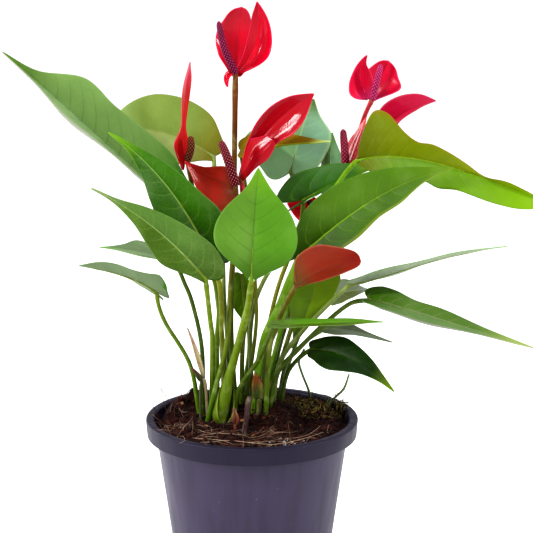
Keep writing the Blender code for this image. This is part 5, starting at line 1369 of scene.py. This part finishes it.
@dataclass
class SoilBed:
    """The potting mix: peat with coir fibres, crumbs, bark chips, perlite and a patch of moss."""

    clumps: tuple = (
        (-36, 34, 7, 10), (-44, 24, 6, 9), (-46, 8, 6, 7), (-30, -18, 8, 4), (-12, -30, 7, 3),
        (14, -34, 8, 3), (34, 20, 9, 4), (30, -8, 8, -7), (36, -26, 8, 3), (-38, -22, 6, 3), (18, 40, 9, 4),
        (15, -5, 14, 8),
    )
    crumbs: int = 90
    crumb_radius: tuple = (2.5, 4.5)
    crumb_rise: tuple = (-1.2, 1.8)
    rings: int = 110
    sides: int = 288
    lumps: int = 900          # fine bumps, each 0.6 to 2.2 mm across
    fibres: int = 520
    straws: int = 60          # longer tan fibres that lie towards the front left
    litter: int = 240         # short dark fibres heaped at the foot of the right-hand stems
    grains: int = 420
    perlite: int = 46
    chips: int = 16
    moss_strands: int = 420
    stray_fibres: tuple = (   # x, y, heading, length, lift at the end, radius, tint and turn of single ones
        (-42, -33, -0.10, 84, 3.0, 0.24, 1.0, 0.05), (-45, -22, -0.35, 46, 2.0, 0.22, 0.9, 0.3),
        (-30, -40, 0.15, 40, 2.0, 0.2, 0.95, -0.3), (-8, -44, 0.05, 36, 1.5, 0.2, 0.85, 0.1),
        (-44, 12, 2.6, 15, 9.0, 0.24, 0.6, -0.9), (-46, 20, 2.2, 13, 13.0, 0.22, 0.5, 0.9),
        (-42, 30, 1.4, 10, 12.0, 0.24, 0.45, 1.2), (-48, 2, 3.3, 12, 5.0, 0.22, 0.55, -1.3),
        (24, -28, -0.9, 26, 6.0, 0.2, 0.5, -0.4), (42, 30, 0.3, 22, 5.0, 0.18, 0.8, 0.8),
    )

    def __post_init__(self) -> None:
        """Draws the clumps' crumbs and the fine bumps."""
        draw = random.Random(SEED)
        self.bumps = self.clumps + tuple(
            (draw.uniform(-48, 48), draw.uniform(-48, 48), draw.uniform(*self.crumb_radius),
             draw.uniform(*self.crumb_rise)) for _ in range(self.crumbs))
        self.rng = np.random.default_rng(SEED)
        spots = self.rng.uniform(-55, 55, (self.lumps, 2))
        self.fine = np.column_stack([spots, self.rng.uniform(0.6, 2.2, self.lumps),
                                     self.rng.uniform(-1.0, 1.1, self.lumps)])

    def height(self, x: Array, y: Array) -> Array:
        """The soil's surface: the mound, plus a bell of each clump, crumb and bump, drawn down at the wall.

        Args:
            x: places to the right, mm.
            y: places away from the viewer, mm.

        Returns:
            Heights in mm.
        """
        height = soil_mound(x, y)
        for centre_x, centre_y, radius, rise in self.bumps:
            height = height + rise * np.exp(-((x - centre_x) ** 2 + (y - centre_y) ** 2) / (2 * (radius / 1.6) ** 2))
        for centre_x, centre_y, radius, rise in self.fine:
            height = height + rise * np.exp(-((x - centre_x) ** 2 + (y - centre_y) ** 2) / (2 * radius ** 2 / 3))
        edge = np.clip((pot_inside(SOIL_EDGE) - GAP - np.hypot(x, y)) / 6.0, 0, 1)
        return SOIL_EDGE + (height - SOIL_EDGE) * (0.35 + 0.65 * edge)

    def plug(self) -> Shape:
        """The body of soil: rings from the middle of its top, down the pot's wall and in along its floor."""
        wall = pot_inside(SOIL_EDGE) - GAP
        floor = FLOOR + GAP
        radii = wall * (np.arange(1, self.rings + 1) / self.rings) ** 0.8
        turn = np.linspace(0, 2 * math.pi, self.sides, endpoint=False)
        x, y = radii[:, None] * np.cos(turn), radii[:, None] * np.sin(turn)
        top = np.stack([x, y, self.height(x, y)], -1)
        sides = [(pot_inside(BEND_HEIGHT) - GAP, BEND_HEIGHT), (pot_inside(floor) - GAP, floor), (2.0, floor)]
        lower = np.array([[(radius * math.cos(a), radius * math.sin(a), z) for a in turn] for radius, z in sides])
        rings = np.concatenate([top, lower])[::-1]
        middle = float(self.height(np.zeros(1), np.zeros(1))[0])
        points = np.vstack([[0, 0, floor], rings.reshape(-1, 3), [0, 0, middle]])
        return Shape(points, ring_faces(len(rings), self.sides), {"tint": np.full(len(points), 0.5)})

    def strands(self, spots: Array, headings: Array, lengths: Array, lifts: Array, radii: Array,
                tints: Array, curls: Array) -> Shape:
        """Thin closed strands that lie on the soil, bent sideways and lifted at one end or in the middle.

        A strand's point at s from 0 to 1 is its spot plus the heading times its length times s, turned
        by its curl, at the soil's height plus a lift that goes as s^2.

        Args:
            spots: x and y of each start.
            headings: angles in radians.
            lengths: in mm.
            lifts: how far the end rises, mm.
            radii: in mm.
            tints: 0 dark to 1 light.
            curls: how far each turns along its length, radians.

        Returns:
            All strands as one shape.
        """
        steps, sides = 9, 4
        s = np.linspace(0, 1, steps)
        angle = headings[:, None] + curls[:, None] * s[None] + 0.35 * np.sin(5 * s[None] + tints[:, None] * 9)
        move = np.stack([np.cos(angle), np.sin(angle)], -1) * (lengths / steps)[:, None, None]
        flat = spots[:, None] + np.cumsum(move, 1)
        reach = np.hypot(flat[..., 0], flat[..., 1])
        ground = self.height(flat[..., 0] * np.minimum(1, 53 / reach), flat[..., 1] * np.minimum(1, 53 / reach))
        ground = np.where(reach > 53.5, np.maximum(ground, POT_HEIGHT + 0.6), ground)
        level = ground + 0.3 + lifts[:, None] * s[None] ** 2 + 0.8 * np.sin(3.2 * s[None] + headings[:, None]) ** 2
        centre = np.concatenate([flat, level[..., None]], -1)
        centre[:, 1:-1] = (centre[:, :-2] + centre[:, 1:-1] + centre[:, 2:]) / 3
        ahead = unit(np.gradient(centre, axis=1))
        first = unit(np.cross(ahead, np.array([0.0, 0.0, 1.0])))
        second = np.cross(ahead, first)
        turn = np.linspace(0, 2 * math.pi, sides, endpoint=False)
        ring = (first[:, :, None] * np.cos(turn)[None, None, :, None]
                + second[:, :, None] * np.sin(turn)[None, None, :, None])
        taper = np.interp(s, [0, 0.2, 0.8, 1], [0.6, 1, 0.9, 0.35])
        rings = centre[:, :, None] + ring * (radii[:, None] * taper[None])[:, :, None, None]
        count = steps * sides + 2
        points = np.concatenate([centre[:, :1], rings.reshape(len(spots), -1, 3), centre[:, -1:]], 1)
        starts = (np.arange(len(spots)) * count)[:, None, None]
        faces = [(group[None] + starts).reshape(-1, group.shape[1]) for group in ring_faces(steps, sides)]
        return Shape(points.reshape(-1, 3), faces, {"tint": np.repeat(tints, count)})

    def lumps_at(self, spots: Array, sizes: Array, tints: Array, sink: float = 0.2, rings: int = 4,
                 sides: int = 6) -> Shape:
        """Small uneven lumps on the soil: balls of few faces, stretched and dented at random.

        Args:
            spots: x and y of each.
            sizes: radii along three directions, mm.
            tints: 0 dark to 1 light.
            sink: the share of the height that is in the soil.
            rings: rings of each ball.
            sides: points around each.

        Returns:
            All lumps as one shape.
        """
        count = len(spots)
        polar = np.linspace(0, math.pi, rings + 2)[1:-1]
        turn = np.linspace(0, 2 * math.pi, sides, endpoint=False)
        ball = np.stack([np.sin(polar)[:, None] * np.cos(turn), np.sin(polar)[:, None] * np.sin(turn),
                         -np.cos(polar)[:, None] * np.ones(sides)], -1).reshape(-1, 3)
        ball = np.vstack([[0, 0, -1], ball, [0, 0, 1]])
        dent = self.rng.uniform(0.72, 1.2, (count, len(ball), 1))
        local = ball[None] * dent * sizes[:, None]
        heading = self.rng.uniform(0, 2 * math.pi, count)
        cos, sin = np.cos(heading)[:, None], np.sin(heading)[:, None]
        flat = np.stack([local[..., 0] * cos - local[..., 1] * sin, local[..., 0] * sin + local[..., 1] * cos], -1)
        level = self.height(spots[:, 0], spots[:, 1]) + sizes[:, 2] * (1 - 2 * sink)
        points = np.concatenate([flat + spots[:, None], (local[..., 2] + level[:, None])[..., None]], -1)
        starts = (np.arange(count) * len(ball))[:, None, None]
        faces = [(group[None] + starts).reshape(-1, group.shape[1]) for group in ring_faces(rings, sides)]
        return Shape(points.reshape(-1, 3), faces, {"tint": np.repeat(tints, len(ball))})

    def spread(self, count: int, reach: float, centre: tuple = (0, 0)) -> Array:
        """Places drawn evenly over a disc.

        Args:
            count: how many.
            reach: the disc's radius, mm.
            centre: its middle.

        Returns:
            x and y of each.
        """
        turn = self.rng.uniform(0, 2 * math.pi, count)
        far = reach * np.sqrt(self.rng.uniform(0, 1, count))
        return np.stack([centre[0] + far * np.cos(turn), centre[1] + far * np.sin(turn)], -1)

    def build(self) -> None:
        """Makes the plug and everything that lies on it."""
        rng = self.rng
        peat = EarthSkin("damp_peat", "0c0201", "200603", "3c120a", 5.0, 0.95)
        self.plug().piece("soil_bed", [peat.material()], "soil", "soil")
        coir = EarthSkin("coir_fibre", "160503", "34150b", "8c7462", 9.0, 0.75)
        spots = self.spread(self.fibres, 50.5)
        headings = rng.uniform(0, 2 * math.pi, self.fibres)
        lengths = rng.uniform(5, 19, self.fibres)
        lifts = rng.exponential(1.1, self.fibres)
        radii = rng.uniform(0.1, 0.22, self.fibres)
        tints = np.clip(0.3 - spots[:, 0] / 160 - spots[:, 1] / 220 + rng.normal(0, 0.22, self.fibres), 0, 1)
        fibres = self.strands(spots, headings, lengths, lifts, radii, tints, rng.normal(0, 0.9, self.fibres))
        straws = self.strands(
            self.spread(self.straws, 1.0) * np.array([[34, 14]]) + np.array([[-14, -33]]),
            rng.normal(0, 1.1, self.straws), rng.uniform(8, 28, self.straws), rng.exponential(1.6, self.straws),
            rng.uniform(0.08, 0.17, self.straws), rng.uniform(0.3, 1, self.straws), rng.normal(0, 0.6, self.straws))
        litter = self.strands(
            self.spread(self.litter, 1.0) * np.array([[20, 13]]) + np.array([[13, -4]]),
            rng.uniform(0, 2 * math.pi, self.litter), rng.uniform(4, 12, self.litter),
            rng.exponential(2.5, self.litter), rng.uniform(0.15, 0.32, self.litter),
            rng.uniform(0, 0.4, self.litter), rng.normal(0, 1.2, self.litter))
        rows = np.array(self.stray_fibres, float).T
        stray = self.strands(rows[:2].T, rows[2], rows[3], rows[4], rows[5], rows[6], rows[7])
        Shape.joined([fibres, straws, litter, stray]).piece("soil_coir_fibres", [coir.material()], "soil")
        crumb = EarthSkin("peat_crumb", "100403", "260c07", "402015", 3.0, 0.95)
        sizes = rng.uniform(0.5, 1.7, (self.grains, 1)) * rng.uniform(0.7, 1.2, (self.grains, 3))
        self.lumps_at(self.spread(self.grains, 50), sizes, rng.uniform(0, 0.9, self.grains)).piece(
            "soil_crumbs", [crumb.material()], "soil")
        grit = EarthSkin("expanded_perlite", "403638", "78706e", "bab4b0", 1.0, 0.9, 0.3)
        spots = self.spread(self.perlite, 15, (24, -41))
        spots[:, 1] = -41 + (spots[:, 1] + 41) * 0.45
        sizes = rng.uniform(0.25, 0.75, (self.perlite, 1)) * np.ones((1, 3))
        self.lumps_at(spots, sizes, rng.uniform(0.4, 1, self.perlite)).piece(
            "soil_perlite", [grit.material()], "soil")
        bark = EarthSkin("pine_bark_chip", "1a0a05", "3c1d0c", "7c5638", 3.0, 0.8)
        sizes = rng.uniform(0.8, 1.8, (self.chips, 1)) * np.array([[1.6, 0.8, 0.6]])
        self.lumps_at(self.spread(self.chips, 47), sizes, rng.uniform(0.2, 1, self.chips)).piece(
            "soil_bark_chips", [bark.material()], "soil")
        moss = EarthSkin("sheet_moss", "1c0e05", "3c2a0f", "726830", 4.0, 0.85)
        spots = self.spread(self.moss_strands, 1.0)
        spots = spots * np.array([[19, 15]]) + np.array([[34, 17]])
        count = self.moss_strands
        self.strands(spots, rng.uniform(0, 2 * math.pi, count), rng.uniform(3, 12, count),
                     rng.exponential(0.9, count), rng.uniform(0.15, 0.38, count), rng.uniform(0, 1, count),
                     rng.normal(0, 2.4, count)).piece("soil_moss", [moss.material()], "soil")


@dataclass(frozen=True)
class Studio:
    """A white sweep of floor, soft white light from all round, and the camera."""

    lens: float = 1766.7 / 533 * 36      # mm on a 36 mm sensor, from the view's focal length in pixels
    camera_place: tuple = (8.2, -958.0, 404.0)
    camera_tilt: float = 77.5
    floor_radius: float = 30.0           # m
    ambient: float = 0.8
    suns: tuple = (("sun_left", (-800, -900, 1000), 0.5), ("sun_right", (900, 500, 1100), 0.5))
    sun_angle: float = 35.0              # degrees across, for soft shadows
    boxes: tuple = (                     # name, place and size in mm, power in watts
        ("left_strip", (-957, -406, 520), (150, 280), 11.0),
        ("right_strip", (900, -300, 520), (70, 420), 8.0),
        ("back_strip", (-933, 583, 400), (200, 800), 7.0),
        ("top_box", (-150, -600, 1100), (200, 90), 8.0),
    )

    def build(self) -> None:
        """Sets up the floor, the world, the lamps and the camera."""
        turn = np.linspace(0, 2 * math.pi, 96, endpoint=False)
        points = np.stack([np.cos(turn), np.sin(turn), turn * 0], -1) * self.floor_radius / MM
        material, _, _ = new_material("pale_floor", Base_Color=linear("fdfdfd"), Roughness=0.9,
                                      Specular_IOR_Level=0.1)
        floor = Shape(points, [np.arange(96)[None]]).mesh_object("floor", [material])
        floor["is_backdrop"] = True
        world = bpy.data.worlds.new("soft_white")
        world.use_nodes = True
        bpy.context.scene.world = world
        back = world.node_tree.nodes["Background"]
        back.inputs["Color"].default_value = (1, 1, 1, 1)
        back.inputs["Strength"].default_value = self.ambient
        for name, place, strength in self.suns:
            sun = bpy.data.lights.new(name, "SUN")
            sun.energy, sun.angle = strength, math.radians(self.sun_angle)
            self.aimed(sun, place)
        for name, place, size, power in self.boxes:
            box = bpy.data.lights.new(name, "AREA")
            box.shape, box.size, box.size_y = "RECTANGLE", size[0] * MM, size[1] * MM
            box.energy = power
            self.aimed(box, place)
        self.camera()
        view = bpy.context.scene.view_settings
        view.view_transform, view.look = "Standard", "Medium High Contrast"

    def aimed(self, light: bpy.types.Light, place: tuple) -> None:
        """Puts a light at a place and turns it to the plant's middle.

        Args:
            light: the light.
            place: in mm.
        """
        lamp = bpy.data.objects.new(light.name, light)
        bpy.context.scene.collection.objects.link(lamp)
        lamp.location = [value * MM for value in place]
        aim = np.array([0, 0, 190.0]) - np.array(place, float)
        across = math.hypot(aim[0], aim[1])
        lamp.rotation_euler = (math.atan2(across, -aim[2]), 0, math.atan2(-aim[0], aim[1]))

    def camera(self) -> None:
        """The camera, level in roll and tilted down a little, at the photographed angle."""
        camera = bpy.data.cameras.new("camera")
        camera.lens, camera.sensor_width = self.lens, 36
        obj = bpy.data.objects.new("camera", camera)
        bpy.context.scene.collection.objects.link(obj)
        obj.location = [value * MM for value in self.camera_place]
        obj.rotation_euler = (math.radians(self.camera_tilt), 0, 0)
        bpy.context.scene.camera = obj


def corners() -> list[list[float]]:
    """The lowest and highest corner of what is shown, as plain numbers."""
    return [[float(value) for value in corner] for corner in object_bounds()]


def main() -> None:
    """Builds every sub-assembly in order."""
    logging.basicConfig(level=logging.INFO, format="%(message)s")
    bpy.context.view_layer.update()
    Studio().build()
    Pot().build()
    SoilBed().build()
    for part in LEAVES + DRY_BITS + BLOOMS + STALKS:
        part.build()


if __name__ == "__main__":
    main()
